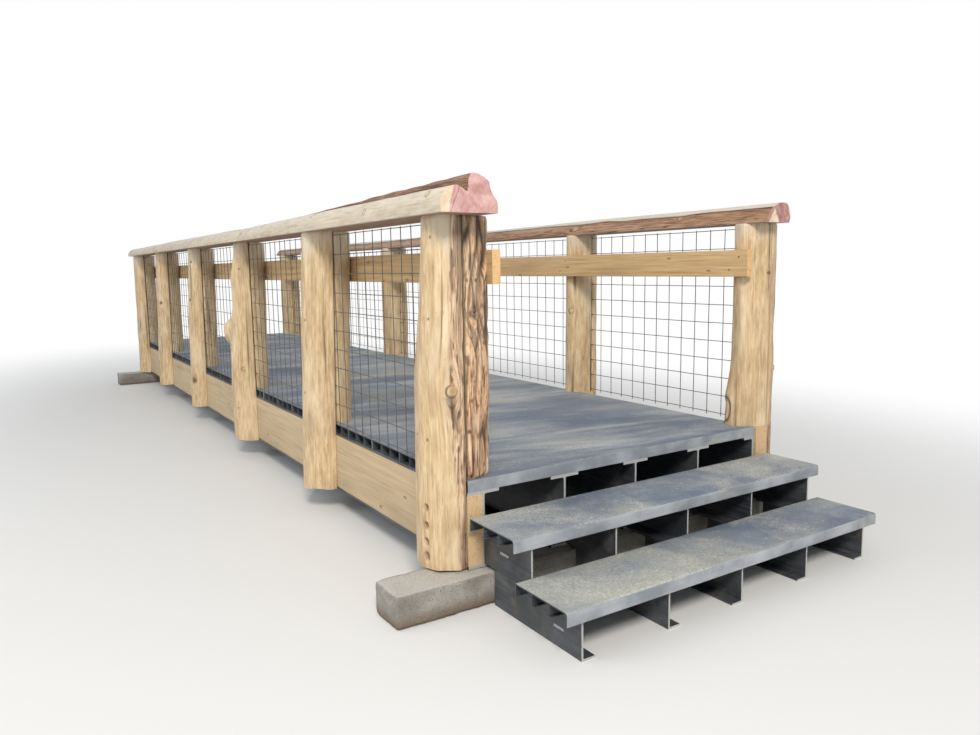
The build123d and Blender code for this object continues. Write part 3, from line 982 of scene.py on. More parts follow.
def ring_mesh(name, rings, grain, marks):
    """A closed solid from a stack of closed rings of points, with a fan of end grain over each end.

    grain is the place in the wood, across and along it; marks are shares of bark, dark and knot.
    """
    levels, count = rings.shape[:2]
    ends = np.array((rings[0].mean(axis=0), rings[-1].mean(axis=0)))
    places = np.concatenate((rings.reshape(-1, 3), ends, rings[0], rings[-1]))
    first = np.arange(levels * count).reshape(levels, count)
    after = np.roll(first, -1, axis=1)
    sides = np.stack((first[:-1], after[:-1], after[1:], first[1:]), axis=-1).reshape(-1, 4)
    base = levels * count
    low_rim, high_rim = base + 2 + np.arange(count), base + 2 + count + np.arange(count)
    low_fan = np.stack((np.full(count, base), np.roll(low_rim, -1), low_rim), axis=-1)
    high_fan = np.stack((np.full(count, base + 1), high_rim, np.roll(high_rim, -1)), axis=-1)
    mesh = bpy.data.meshes.new(name)
    mesh.from_pydata(places.tolist(), [], sides.tolist() + low_fan.tolist() + high_fan.tolist())
    for title, field in (("grain", grain), ("marks", marks)):
        middles = np.array((field[0].mean(axis=0), field[-1].mean(axis=0)))
        data = np.concatenate((field.reshape(-1, 3), middles, field[0], field[-1]))
        attribute = mesh.attributes.new(title, "FLOAT_VECTOR", "POINT")
        attribute.data.foreach_set("vector", data.astype(np.float32).ravel())
    material_index = np.zeros(len(mesh.polygons), dtype=np.int32)
    material_index[len(sides):] = 1
    mesh.polygons.foreach_set("material_index", material_index)
    mesh.shade_smooth()
    return mesh


def inside(distance, softness):
    """1 where the distance is well below 0, and 0 where it is well above."""
    return 1 / (1 + np.exp(np.clip(distance / softness, -40, 40)))


def bell(distance):
    """A bell of height 1 at distance 0."""
    return np.exp(-distance ** 2)


def aside_from(skin, degrees):
    """Distance round the log from a turn in degrees."""
    return (skin.turn - math.radians(degrees)) * skin.half


def near_turn(skin, degrees, spread):
    """1 at a turn in degrees, fading over a spread of degrees."""
    return bell((np.degrees(skin.turn) - degrees) / spread)


def mark(skin, **shares):
    """Raise the shares of bark, dark and knot to those given."""
    for kind, share in shares.items():
        setattr(skin, kind, np.maximum(getattr(skin, kind), share))


def hewn(skin, name, seed):
    """How far the drawknife's flats fall below the round log, with edges that drift up the log."""
    arris, flats = first_arris.get(name, (77.0 * seed % 180, usual_flats))
    width = math.pi / flats
    drift = 0.22 * waver(skin.up * 1.9, seed * 3.1, 5) + 0.10 * waver(skin.up * 7.0, seed * 1.7, 6)
    local = ((skin.turn - math.radians(arris)) / width + drift) % 1.0 - 0.5
    return -0.75 * skin.half * (1 - np.cos(width / 2) / np.cos(local * width))


def carve_shakes(skin, count, pitch, seed, clear_of):
    """Long cracks that open as the log dries."""
    for crack in range(count):
        place, start, length, drift = np.random.default_rng(seed * 31 + crack).uniform(0, 1, 4)
        if clear_of and abs(place * 180 - clear_of) < bolt_clearance:
            continue
        centre = place * math.pi + 0.10 * waver(skin.up * 3.1, drift * 9, seed + 9)
        along = (skin.up + 0.35 - start) / (0.5 * length + 0.12)
        closing = np.clip(1 - (2 * along - 1) ** 2, 0, 1)
        gap = bell((skin.turn - centre) * skin.half / (pitch * 0.70)) * closing
        skin.out -= crack_depth * gap
        mark(skin, dark=0.90 * gap)


def carve_knot(skin, degrees, level, radius, stands):
    """A knot with its swelling, the groove round it and the grain that bends past it."""
    aside, above = aside_from(skin, degrees), skin.up - level
    reach = np.hypot(aside, above)
    long_reach = np.hypot(aside, above / 2.6) + 1e-5
    skin.across -= aside * np.clip((radius * 1.15 / long_reach) ** 2, 0, 0.92)
    button = inside(reach - radius, radius * 0.10)
    moat = bell((reach - radius * 1.15) / (radius * 0.22))
    swelling = bell(np.hypot(aside, above / 1.8) / (radius * 1.9))
    skin.out += abs(stands) * 0.9 * swelling + stands * button - 0.0035 * moat
    # Painted shade in the groove round the knot, darker on one side
    mark(skin, knot=button, dark=moat * (0.45 + 0.45 * np.clip(aside / radius, -1, 1)))
    if stands < open_knot:
        mark(skin, dark=0.85 * button)


def carve_hollow(skin, top, foot, widths, depth, shade):
    """A long hollow that narrows from its top to its foot, each given as turn in degrees and level."""
    share = np.clip((top[1] - skin.up) / (top[1] - foot[1]), 0, 1)
    centre = math.radians(top[0]) * (1 - share) + math.radians(foot[0]) * share
    width = widths[0] * (1 - share) + widths[1] * share
    outside = np.maximum(skin.up - top[1], 0) + np.maximum(foot[1] - skin.up, 0)
    hollow = bell(np.hypot((skin.turn - centre) * skin.half / width, outside / (widths[0] * 0.5)))
    skin.out -= depth * hollow
    # The hollow is painted dark as its shade, most on its left side
    left_side = inside((centre - skin.turn) * skin.half, width * 0.4)
    mark(skin, dark=shade * hollow * (0.35 + 0.65 * left_side))


def furrows(skin):
    """Long deep furrows and short fine ones of bark, 1 in their beds."""
    sway = 1.7 * waver(skin.up * 4.2, skin.across * 9, skin.seed + 20)
    deep = bell(waver(skin.across * 52 + sway, skin.up * 2.6, skin.seed + 21) / 0.30)
    deep = deep * np.clip(0.85 + 0.7 * waver(skin.across * 25, skin.up * 4.0, skin.seed + 23), 0.2, 1)
    fine = bell(waver(skin.across * 130 + 2 * sway, skin.up * 8.0, skin.seed + 22) / 0.22)
    return deep, fine


def bark_left_inner(skin):
    """Thick furrowed bark all over the front of the inner half of the first left post."""
    edge = np.radians(np.interp(skin.up, (0, 0.45, 0.62, 1.05), (52, 54, 76, 86)))
    edge = edge + 0.12 * waver(skin.up * 7.0, 0.5, 31) + 0.05 * waver(skin.up * 21, 2.5, 32)
    cover = inside(skin.turn - edge, 0.05)
    deep, fine = furrows(skin)
    ridge = waver(skin.across * 34, skin.up * 5.5, skin.seed + 24)
    skin.bark = cover
    skin.out += 0.015 * near_turn(skin, 64, 34)
    skin.out += cover * (0.0040 + 0.0040 * ridge - 0.0120 * deep - 0.0030 * fine)
    pits = np.clip(waver(skin.across * 150, skin.up * 40, skin.seed + 27) * 2.4 - 0.9, 0, 1)
    # The furrows and pits are painted dark, partly the bark's own colour and partly painted shade
    mark(skin, dark=cover * np.maximum(np.maximum(deep, 0.62 * fine), 0.8 * pits))
    from_top = post_top - walk_level - skin.up
    # Under the cap rail the bark is notched and painted dark as the cap's shade; at the deck it is torn and
    # darkened
    ragged = inside(from_top - 0.006 - 0.014 * waver(skin.across * 55, 0.3, 33), 0.003) * cover
    torn = inside(skin.up - 0.014 - 0.016 * waver(skin.across * 48, 0.7, 35), 0.003) * cover
    skin.out -= 0.003 * ragged + 0.012 * torn
    mark(skin, dark=np.maximum(0.8 * ragged, 0.5 * torn))


def bark_left_outer(skin):
    """Strip of grey inner bark beside the slot of the first left post, with its bolt holes."""
    edge = np.interp(skin.up, (-0.374, -0.05, 0.19, 0.30, 0.45, 1.05), (12, 18, 25, 34, 27, 29))
    edge = np.radians(edge) + 0.05 * waver(skin.up * 8, 0.5, 34) + 0.03 * waver(skin.up * 25, 1.5, 35)
    strip = inside(skin.turn - edge, 0.03)
    deep, fine = furrows(skin)
    flecks = np.clip(waver(skin.across * 110, skin.up * 22, skin.seed + 26) * 2.2 - 0.5, 0, 1)
    skin.bark = 0.5 * strip
    skin.out += strip * (-0.0030 - 0.0035 * deep - 0.0015 * fine)
    mark(skin, dark=strip * np.maximum(0.70 * deep, np.maximum(0.45 * fine, 0.80 * flecks)))
    low_strip = near_turn(skin, 8, 5) * inside(skin.up + 0.17, 0.02)
    mark(skin, bark=low_strip, dark=0.55 * low_strip)
    carve_hollow(skin, (24, 0.335), (11, 0.205), (0.026, 0.011), 0.013, 1.0)
    carve_hollow(skin, (25, 0.455), (23, 0.400), (0.004, 0.006), 0.004, 0.8)
    for level, size in bolt_holes:
        aside = aside_from(skin, bolt_turn) / size / bolt_hole_width
        hole = inside(np.hypot(aside, (skin.up - level) / bolt_hole_height / size) - 1, 0.09)
        skin.out -= bolt_hole_depth * hole
        # The inside of each bolt hole is painted dark as its shade, darker on one side
        mark(skin, dark=hole * np.clip(0.62 - 0.38 * aside, 0.25, 1))


def branch_stub(skin):
    """Rounded stub of a branch on the third left post, steep above and drawn out below."""
    aside, above = aside_from(skin, stub_turn), skin.up - stub_level
    reach = np.hypot(aside / stub_width, np.where(above > 0, above / stub_above, above / stub_below))
    stub = bell(reach ** 1.5)
    skin.out += stub * (stub_length + 0.006 * waver(skin.across * 40, skin.up * 30, 71))
    mark(skin, knot=0.5 * stub, dark=0.30 * bell((reach - 1.25) / 0.20))


def burl_right_inner(skin):
    """Brown burl at the foot of the first right post, and the slivers of bark above it."""
    aside = aside_from(skin, burl_turn)
    reach = np.hypot(aside / burl_width, (skin.up - burl_level) / burl_height)
    skin.out += burl_swell * bell(np.hypot(aside / 0.045, (skin.up - 0.09) / 0.15))
    skin.out -= 0.014 * inside(reach - 0.75, 0.10)
    mark(skin, bark=0.9 * inside(reach - 0.95, 0.08), dark=0.9 * bell((reach - 0.92) / 0.16))
    sliver = near_turn(skin, sliver_turn, 4) * np.clip(1.6 * waver(skin.up * 9, 0.5, 41), 0, 1)
    mark(skin, bark=sliver, dark=0.7 * sliver)
    mark(skin, dark=0.28 * near_turn(skin, 82, 6) * bell((skin.up - 0.47) / 0.15))


def bark_right_outer(skin):
    """Bark low on the front of the first right post, painted dark below the deck as its shade and darker in
    its furrows, and a seam of it up the outer half.
    """
    deep = furrows(skin)[0]
    low_bark = near_turn(skin, 25, 30) * np.clip((0.02 - skin.up) / 0.03, 0, 1)
    seam = 44 + 8 * waver(skin.up * 4, 0.5, skin.seed + 30)
    broken = np.clip(0.6 + 1.2 * waver(skin.up * 7, 1.5, skin.seed + 31), 0, 1)
    seam_bark = near_turn(skin, seam, 6) * broken
    skin.bark = np.maximum(low_bark, seam_bark)
    skin.out += skin.bark * (0.002 - 0.005 * deep)
    # Below the deck the bark is painted dark as painted shade
    mark(skin, dark=np.maximum(low_bark * (0.35 + 0.5 * deep), 0.75 * seam_bark))


own_carving = {
    "left_post_1_outer": bark_left_outer, "left_post_1_inner": bark_left_inner,
    "left_post_3_outer": branch_stub,
    "right_post_1_outer": bark_right_outer, "right_post_1_inner": burl_right_inner,
}


def carve(skin, name, which, pitch, seed):
    """Everything that the drawknife, the weather and the branches left on one half of a post."""
    around = skin.across.copy()
    skin.out += hewn(skin, name, seed) + 0.0030 * waver(around * 8 + seed, skin.up * 2.4, seed)
    skin.out += 0.0020 * waver(around * 22, skin.up * 8 + seed, seed + 1)
    bolted = name == "left_post_1" and which == "outer"
    cracks = fine_crack_count if pitch < fine_pitch else crack_count
    carve_shakes(skin, cracks, pitch, seed, bolt_turn if bolted else 0)
    for half_name, *knot in knots.get(name, ()):
        if half_name == which:
            carve_knot(skin, *knot)
    for half_name, degrees, level in nail_marks.get(name, ()):
        if half_name == which:
            reach = np.hypot(aside_from(skin, degrees), skin.up - level)
            mark(skin, dark=bell(reach / max(nail_mark_radius, 1.05 * pitch)))
    if f"{name}_{which}" in own_carving:
        own_carving[f"{name}_{which}"](skin)

    # The head is trimmed under the cap rail
    trimmed = np.clip(1 - (post_top - walk_level - skin.up) / trim_height, 0, 1) ** 2
    skin.out -= trim_depth * trimmed * (1 + 0.7 * waver(around * 24, 0.7, seed + 50))


def half_log(name, row, number, which, seed):
    """Rings, grain and marks of one half of a post, from its foot to its head."""
    outer = which == "outer"
    side = row["side"] if outer else -row["side"]
    face = row["side"] * (row["split"] if outer else row["split"] - slot_width)
    pitch = row["pitch"][number]
    low = beam_low + row["lift"][number] if outer else walk_level
    heights = np.linspace(low, post_top, int((post_top - low) / pitch) + 1)
    if not outer:
        notch = (rail_low - notch_edge, rail_low, rail_high, rail_high + notch_edge)
        heights = np.sort(np.concatenate((heights, notch)))
    steps = int(half_width(row, number, waist) * math.pi * 1.1 / pitch)
    turn, height = np.meshgrid(np.linspace(0, math.pi, steps + 1), heights)
    half = half_width(row, number, height)
    if name in swells:
        half = half + np.interp(height - walk_level, *swells[name])
    stations = np.array((low, walk_level, waist, chest, post_top)[not outer:])
    swings = np.arange(len(stations))
    waved = np.interp(height, stations, 1 + 0.02 * np.sin(1.3 * number + 2.3 * swings))
    drift = np.interp(height, stations, 0.04 * np.sin(2.1 * number + 1.7 * swings)) * half
    depth = (half if outer else row["depth"][number]) * waved
    blank = 0 * half
    across = turn * (half + depth) / 2
    skin = SimpleNamespace(seed=seed, turn=turn, up=height - walk_level, half=half, across=across)
    skin.out, skin.bark, skin.dark, skin.knot = blank.copy(), blank.copy(), blank.copy(), blank.copy()
    carve(skin, name, which, pitch, seed)
    x = post_front(row, number, height) - half * (1 - np.cos(turn))
    x = x + drift * np.sin(turn) ** 2 + skin.out * np.cos(turn)
    reach_out = np.maximum((depth + skin.out) * np.sin(turn), 0)
    if not outer:
        seated = (height > rail_low - notch_slack) & (height < rail_high + notch_slack)
        reach_out = np.where(seated, np.minimum(reach_out, row["reach"]), reach_out)
    y = face + side * reach_out
    if outer:
        # The foot is cut a little askew
        askew = np.clip(1 - (height - low) / askew_height, 0, 1)
        height = height + askew_rise * askew * (0.6 + 0.6 * waver(x * 11, y * 11, seed + 60))

    # The sawn face closes the ring behind the round side, painted dark as the shade in the slot
    share = np.linspace(1, 0, max(6, steps // 7) + 1)[None, 1:-1]
    flat_x = x[:, :1] * (1 - share) + x[:, -1:] * share
    flat_z = height[:, :1] * (1 - share) + height[:, -1:] * share
    flat = 0 * flat_x
    pairs = (
        ((x, y, height), (flat_x, flat + face, flat_z)),
        ((skin.across, height, blank + seed), (0.5 + flat_x * 0.5, flat_z, flat + seed)),
        ((skin.bark, np.clip(skin.dark, 0, 1), skin.knot), (flat, flat + slot_shade, flat)),
    )
    fields = [np.concatenate((np.stack(bowed, -1), np.stack(sawn, -1)), axis=1) for bowed, sawn in pairs]
    return [field[:, ::side] for field in fields]


def join_meshes(name, parts):
    """One mesh out of several."""
    joined = [bpy.data.objects.new(f"{name}_{index}", mesh) for index, mesh in enumerate(parts)]
    for part in joined:
        scene.collection.objects.link(part)
    picked = {"active_object": joined[0], "object": joined[0], "selected_editable_objects": joined}
    with bpy.context.temp_override(**picked):
        bpy.ops.object.join()
    mesh = joined[0].data
    bpy.data.objects.remove(joined[0])
    mesh.name = name
    return mesh


log_tones = (srgb(170, 140, 104), srgb(198, 168, 128), srgb(214, 188, 148), srgb(228, 207, 170))
raw_tones = (srgb(158, 120, 90), srgb(206, 171, 136), srgb(230, 203, 170), srgb(242, 224, 196))
bark_tones = (srgb(176, 124, 90), srgb(220, 173, 135), srgb(238, 201, 165), srgb(246, 221, 189))
weather_stain = srgb(160, 136, 108)
pale_wood = srgb(234, 217, 184)
fibre_brown = srgb(140, 108, 76)
fleck_brown = srgb(108, 76, 50)
log_line = srgb(122, 90, 60)
sun_bleached = srgb(218, 213, 203)
greyed_head = srgb(208, 200, 186)
bark_crack = srgb(82, 50, 33)
knot_wood = srgb(206, 176, 134)
dark_marks_and_painted_shade = srgb(52, 34, 23)


def log_finish(name, tones, raw_tones, bark_tones, streak, bleached):
    """Peeled log, from the grain and marks that its mesh carries, bleached by the sun on its upper side."""
    material, tree, shader, place = new_finish(name)
    grain_place = add_node(tree, "ShaderNodeAttribute", attribute_name="grain").outputs["Vector"]
    marks = add_node(tree, "ShaderNodeAttribute", attribute_name="marks").outputs["Vector"]
    bark, dark, knot = parts_of(tree, marks)
    grain = use_group(tree, wood_grain, {"Place": grain_place, "Streak Width": streak})
    fine = use_group(tree, wood_grain, {"Place": grain_place, "Streak Width": streak * 0.3})
    mottle = noise_at(tree, grain_place, (60, 10, 1), 5, 0.62)
    blotch = noise_at(tree, grain_place, (12, 2.6, 1), 4, 0.6)
    pale = noise_at(tree, grain_place, (9, 2.2, 3), 3, 0.5)
    fibres = noise_at(tree, grain_place, (330, 14, 1), 2, 0.5)
    flecks = noise_at(tree, grain_place, (190, 34, 1), 2, 0.5)
    cracks = fade(tree, noise_at(tree, grain_place, (130, 6.0, 1), 4, 0.62, 0.4), 0.36, 0.45, 0.85, 0.0)
    tone = plus(tree, times(tree, grain["Tone"], 0.45), times(tree, mottle, 0.55))
    sun = fade(tree, facing_up(tree), 0.30, 0.85, 0.0, bleached)
    sun = times(tree, sun, fade(tree, mottle, 0.35, 0.55, 0.45, 1.0))
    raw = ramp(tree, fine["Tone"], (0.36, 0.46, 0.56, 0.68), raw_tones)
    bark_tone = times(tree, plus(tree, fine["Tone"], mottle), 0.5)
    bark_colour = ramp(tree, bark_tone, (0.38, 0.46, 0.54, 0.64), bark_tones)
    height_up = parts_of(tree, place)["Z"]
    weathered = mix_colours(tree, fade(tree, height_up, 0.85, 1.25, 0.0, 0.65), bark_colour, raw)
    ragged = plus(tree, height_up, times(tree, plus(tree, mottle, pale), 0.32))
    greyed = times(tree, fade(tree, ragged, 1.72, 1.88, 0.0, 0.50), fade(tree, bark, 0.2, 0.6, 1.0, 0.3))
    colour = coated(
        tree, ramp(tree, tone, (0.34, 0.45, 0.54, 0.66), tones),
        (fade(tree, blotch, 0.50, 0.70, 0.0, 0.50), weather_stain),
        (fade(tree, pale, 0.48, 0.70, 0.0, 0.50), pale_wood),
        (fade(tree, fibres, 0.56, 0.72, 0.0, 0.28), fibre_brown),
        (fade(tree, flecks, 0.68, 0.76, 0.0, 0.60), fleck_brown),
        (times(tree, grain["Line"], 0.45), log_line),
        (sun, sun_bleached),
        (fade(tree, bark, 0.05, 0.42), raw),
        (greyed, greyed_head),
        (fade(tree, bark, 0.55, 0.92), weathered),
        (times(tree, cracks, fade(tree, bark, 0.15, 0.60)), bark_crack),
        (times(tree, knot, 0.55), knot_wood),
        # Dark marks: real cracks, nail holes and open knots, bark furrows that are partly painted shade, and
        # painted shade in slots, hollows, knot grooves, bolt holes, below the deck and under the cap rails
        (times(tree, dark, 0.95), dark_marks_and_painted_shade),
    )
    relief = plus(tree, times(tree, tone, 0.7), times(tree, fibres, 0.3))
    relief = minus(tree, relief, times(tree, grain["Line"], 0.45))
    relief = plus(tree, relief, times(tree, times(tree, fine["Tone"], bark), 1.6))
    dress(tree, shader, colour, fade(tree, fine["Fibre"], 0.2, 0.8, 0.60, 0.82), relief, 0.0018)
    return material


peeled_log = log_finish("peeled_log", log_tones, raw_tones, bark_tones, 0.009, 0.5)
log_end = end_grain_finish("log_end_grain", srgb(196, 164, 124), srgb(168, 132, 94))
for row_name, row in post_rows.items():
    for number in range(6):
        name = f"{row_name}_post_{number + 1}"
        seed = 3 + 7 * number + (50 if row_name == "right" else 0)
        halves = {}
        for which in ("outer", "inner"):
            fields = half_log(name, row, number, which, seed + (which == "inner"))
            halves[which] = ring_mesh(f"{name}_{which}", *fields)
        # The first post of each side shows its halves as two pieces
        piece = name.replace("post", "log_post")
        if number == 0:
            pieces = {f"{piece}_{which}": mesh for which, mesh in halves.items()}
        else:
            pieces = {piece: join_meshes(name, list(halves.values()))}
        for piece, mesh in pieces.items():
            show(piece, mesh, "peeled_log", (name,), peeled_log, log_end)

# Mid rails: two sawn planks on edge, seated in shallow notches on the inner halves of the posts and
# nailed to them, with planed faces and eased arrises.
mid_rail_ease = 0.0045
mid_rail_stations = 24
mid_rail_tones = (srgb(178, 142, 96), srgb(200, 166, 118), srgb(216, 184, 138))
mid_rail_wood = sawn_finish("mid_rail_wood", mid_rail_tones, 0.012, 0.16, 0.008)
mid_rail_end = end_grain_finish("mid_rail_end_grain", srgb(226, 188, 138), srgb(202, 158, 106))
for name in ("left_mid_rail", "right_mid_rail"):
    low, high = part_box(name)
    outline = eased_outline(rectangle(low[1:], high[1:]), mid_rail_ease, 3)
    mesh = gather(name, [prism(outline, 0, low[0], high[0], mid_rail_stations)])
    piece = name.replace("mid_rail", "middle_rail")
    show(piece, mesh, "sawn_timber", (name,), mid_rail_wood, mid_rail_end)

# Nails: two through each mid rail at every post, driven by hand into the notches of the inner halves.
# They are plain steel, a little tarnished, with round heads left just proud of the wood.
nail_head = 0.0045
nail_proud = 0.0012
nail_sunk = 0.004
nail_spread = 0.030
nail_margin = 0.036
nail_from_end = 0.02
steel_tones = (srgb(70, 62, 54), srgb(128, 122, 114))


def with_material(tree, piece, material):
    """A piece that is given a material."""
    return add_node(tree, "GeometryNodeSetMaterial", {"Geometry": piece, "Material": material}).outputs[0]


def nail_row(tree, given):
    """A round nail head on each point of the start mesh, facing along Y."""
    sockets = {"Vertices": 12, "Radius": given["Head Radius"], "Depth": given["Head Depth"]}
    head = add_node(tree, "GeometryNodeMeshCylinder", sockets).outputs[0]
    heads = copies_on(tree, given["Piece"], head, (math.radians(90), 0.0, 0.0))
    return with_material(tree, heads, given["Finish"])


nail_steel, tree, shader, place = new_finish("nail_steel")
tarnish = noise_at(tree, place, (260, 260, 260), 3)
shader.inputs["Metallic"].default_value = 0.8
dress(tree, shader, ramp(tree, tarnish, (0.35, 0.65), steel_tones), 0.5, tarnish, 0.0002)
for row_name, row in post_rows.items():
    low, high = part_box(f"{row_name}_mid_rail")
    face = high[1] if row["side"] < 0 else low[1]
    middle_y = face - row["side"] * (nail_proud - nail_sunk) / 2
    nails = []
    for number in range(6):
        for aside, level in ((-nail_spread, low[2] + nail_margin), (nail_spread, high[2] - nail_margin)):
            nails.append((min(post_middle(row, number) + aside, high[0] - nail_from_end), middle_y, level))
    start = bpy.data.meshes.new("nail_places")
    start.from_pydata(nails, [], [])
    inputs = {"Head Radius": nail_head, "Head Depth": nail_proud + nail_sunk, "Finish": nail_steel}
    mesh = repeat_along(f"{row_name}_rail_nails", start, inputs, nail_row)
    show(f"{row_name}_rail_nails", mesh, "galvanised_wire", ())

# Cap rails: two long half logs laid flat side down on the posts. The left one keeps the flared butt
# of its trunk at the front, with a ridge of bark behind it; both ends show pink heartwood.
cap_back = deck_back - 0.131
cap_settled = 2.6
cap_taper = 0.1
cap_fine_length = 0.96
cap_fine_pitch = 0.0075
cap_points = 7
cap_flat_points = 12
cap_seeds = {"left": 71, "right": 83}
# Each outline in millimetres, out and up from the split of the posts, at the front and behind the butt.
# Knots: X, place along the outline, radius, how far they stand out
cap_shapes = {
    "left": {
        "front": 0.096,
        "start": (
            (146, 0), (145, 32), (134, 61), (111, 88), (79, 99), (53, 89), (30, 80), (22, 130), (-2, 148),
            (-32, 136), (-62, 117), (-74, 80), (-99, 44), (-102, 0),
        ),
        "rest": (
            (132, 0), (130, 30), (118, 58), (102, 76), (82, 88), (56, 94), (34, 96), (14, 96), (-4, 94),
            (-24, 90), (-44, 80), (-68, 60), (-86, 32), (-89, 0),
        ),
        "pitch": 0.019,
        "knots": (
            (-0.03, 2.4, 0.012, -0.004), (-0.62, 1.6, 0.012, 0.003), (-1.35, 3.1, 0.016, 0.004),
            (-2.26, 3.2, 0.016, 0.003), (-2.73, 3.0, 0.030, 0.006), (-3.9, 2.2, 0.014, 0.004),
            (-4.6, 9.5, 0.018, 0.004), (-5.7, 3.4, 0.016, 0.004),
        ),
    },
    "right": {
        "front": 0.075,
        "start": (
            (42, 0), (49, 28), (43, 62), (25, 89), (0, 100), (-28, 98), (-60, 85), (-90, 68), (-113, 48),
            (-130, 24), (-131, 0),
        ),
        "rest": (
            (40, 0), (46, 26), (38, 56), (19, 80), (-6, 89), (-32, 87), (-62, 75), (-86, 59), (-106, 40),
            (-120, 20), (-121, 0),
        ),
        "pitch": 0.024,
        "knots": (
            (-0.53, 7.4, 0.016, 0.005), (-1.45, 7.9, 0.024, 0.007), (-2.6, 6.4, 0.016, 0.004),
            (-4.1, 7.2, 0.018, 0.004),
        ),
    },
}


def through(corners, fine):
    """Smooth open line through the corners, and where each of its points lies along them."""
    ends = np.concatenate((2 * corners[:1] - corners[1:2], corners, 2 * corners[-1:] - corners[-2:-1]))
    line, place = [], []
    for span in range(len(corners) - 1):
        a, b, c, d = ends[span:span + 4]
        for step in range(fine + (span == len(corners) - 2)):
            t = step / fine
            bend = (2 * a - 5 * b + 4 * c - d) * t * t + (3 * b - a - 3 * c + d) * t ** 3
            line.append(0.5 * (2 * b + (c - a) * t + bend))
            place.append(span + t)
    return np.array(line), np.array(place)


def carve_cap_knot(skin, x, place, radius, stands):
    """A knot of a cap rail, at a place along its outline."""
    aside, ahead_of = skin.around - np.interp(place, skin.place, skin.around), skin.x - x
    reach = np.hypot(aside, ahead_of)
    long_reach = np.hypot(aside, ahead_of / 2.6) + 1e-5
    skin.across = skin.across - aside * np.clip((radius * 1.15 / long_reach) ** 2, 0, 0.92)
    skin.out = skin.out + stands * bell(np.hypot(aside, ahead_of / 1.8) / (radius * 1.8))
    moat = bell((reach - radius * 1.15) / (radius * 0.25))
    mark(skin, knot=inside(reach - radius, radius * 0.12), dark=0.6 * moat)


def left_cap_bark(skin, seed):
    """Ridge of bark behind the butt of the left cap rail, and the rough patch of its lost branch."""
    ridge = inside(5.9 - skin.place, 0.15) * inside(skin.place - 10.4, 0.3)
    ridge = ridge * np.clip((skin.x + 1.75) / 0.5, 0, 1)
    furrow = 1 - 2 * np.abs(waver(skin.around * 70, skin.along * 5, seed + 4))
    skin.bark = ridge * np.clip(1.0 + 0.4 * waver(skin.around * 30, skin.along * 9, seed + 5), 0, 1)
    rough = bell(np.hypot((skin.x + 2.86) / 0.17, (skin.place - 3.6) / 1.3))
    skin.out = skin.out + rough * (0.012 + 0.006 * waver(skin.around * 60, skin.along * 30, seed + 9))
    skin.out = skin.out + ridge * (0.003 * furrow - 0.001)
    mark(skin, knot=0.35 * rough, dark=ridge * np.clip(0.50 - 0.5 * furrow, 0.20, 0.9))


def right_cap_bark(skin, seed):
    """Crease along the right cap rail and the thin bark that is left below it."""
    crease = 6.6 + 0.7 * waver(skin.along * 1.3, 0.5, seed + 6) + 0.25 * waver(skin.along * 6, 1.5, seed + 7)
    groove = bell((skin.place - crease) / 0.28)
    skin.out = skin.out - 0.005 * groove
    cover = np.clip(0.75 + 0.4 * waver(skin.along * 1.1, skin.place * 0.6, seed + 8), 0, 1)
    mark(skin, dark=0.85 * groove, bark=inside(crease - skin.place, 0.12) * cover)


def cap_log(name, row, shape, seed):
    """Rings, grain and marks of a cap rail, from its front to its back."""
    length = shape["front"] - cap_back
    start, rest = np.array(shape["start"]) / 1000, np.array(shape["rest"]) / 1000
    stops = np.array((0, cap_settled / 2, cap_settled, (cap_settled + length) / 2, length))
    sizes = 1 - cap_taper * stops / length + 0.02 * np.sin(2.4 * np.arange(5))
    top_limit = start[:, 1].max() - 0.005
    coarse_count = int((length - cap_fine_length) / shape["pitch"]) + 1
    coarse = np.linspace(cap_fine_length, length, coarse_count)
    rings, grains, marks = [], [], []
    for distance in np.concatenate((np.arange(0, cap_fine_length - 0.001, cap_fine_pitch), coarse)):
        x = shape["front"] - distance
        settled = min(1, distance / cap_settled)
        corners = (start + (rest - start) * settled) * float(np.interp(distance, stops, sizes))
        line, place = through(corners, cap_points)
        step = np.diff(line, axis=0, append=2 * line[-1:] - line[-2:-1])
        outwards = np.stack((-step[:, 1], step[:, 0]), -1)
        outwards /= np.maximum(np.linalg.norm(outwards, axis=1, keepdims=True), 1e-9)
        around = np.concatenate(((0,), np.cumsum(np.linalg.norm(np.diff(line, axis=0), axis=1))))
        along, blank = np.full_like(around, -x), 0 * around
        out = 0.0028 * waver(around * 14 + seed, along * 1.7, seed) - 0.002
        out = out + 0.0012 * waver(around * 40, along * 6, seed + 1)
        skin = SimpleNamespace(x=x, place=place, around=around, along=along, across=around, out=out)
        skin.bark, skin.dark, skin.knot = blank, blank, blank
        for knot in shape["knots"]:
            carve_cap_knot(skin, *knot)
        (left_cap_bark if name == "left" else right_cap_bark)(skin, seed)
        line = line + outwards * (skin.out * np.clip(line[:, 1] / 0.02, 0, 1))[:, None]
        share = np.linspace(1, 0, cap_flat_points)[1:-1]
        flat = 0 * share
        bottom = np.stack((line[-1, 0] * share + line[0, 0] * (1 - share), flat), -1)
        line = np.concatenate((line, bottom))
        level = np.clip(line[:, 1], 0, None)
        level = np.minimum(level, top_limit + 0.4 * (level - top_limit))
        one = np.ones(len(line))
        rings.append(np.stack((x * one, row["side"] * (row["split"] + line[:, 0]), post_top + level), -1))
        across = np.concatenate((skin.across, 0.6 + bottom[:, 0]))
        grains.append(np.stack((across, -x * one, seed * one), -1))
        # The flat underside is painted dark as the shade under the rail
        pairs = ((skin.bark, flat + 0.5), (np.clip(skin.dark, 0, 1), flat + 0.25), (skin.knot, flat))
        marks.append(np.stack([np.concatenate(pair) for pair in pairs], -1))
    return [np.array(fields)[:, ::-row["side"]] for fields in (rings, grains, marks)]


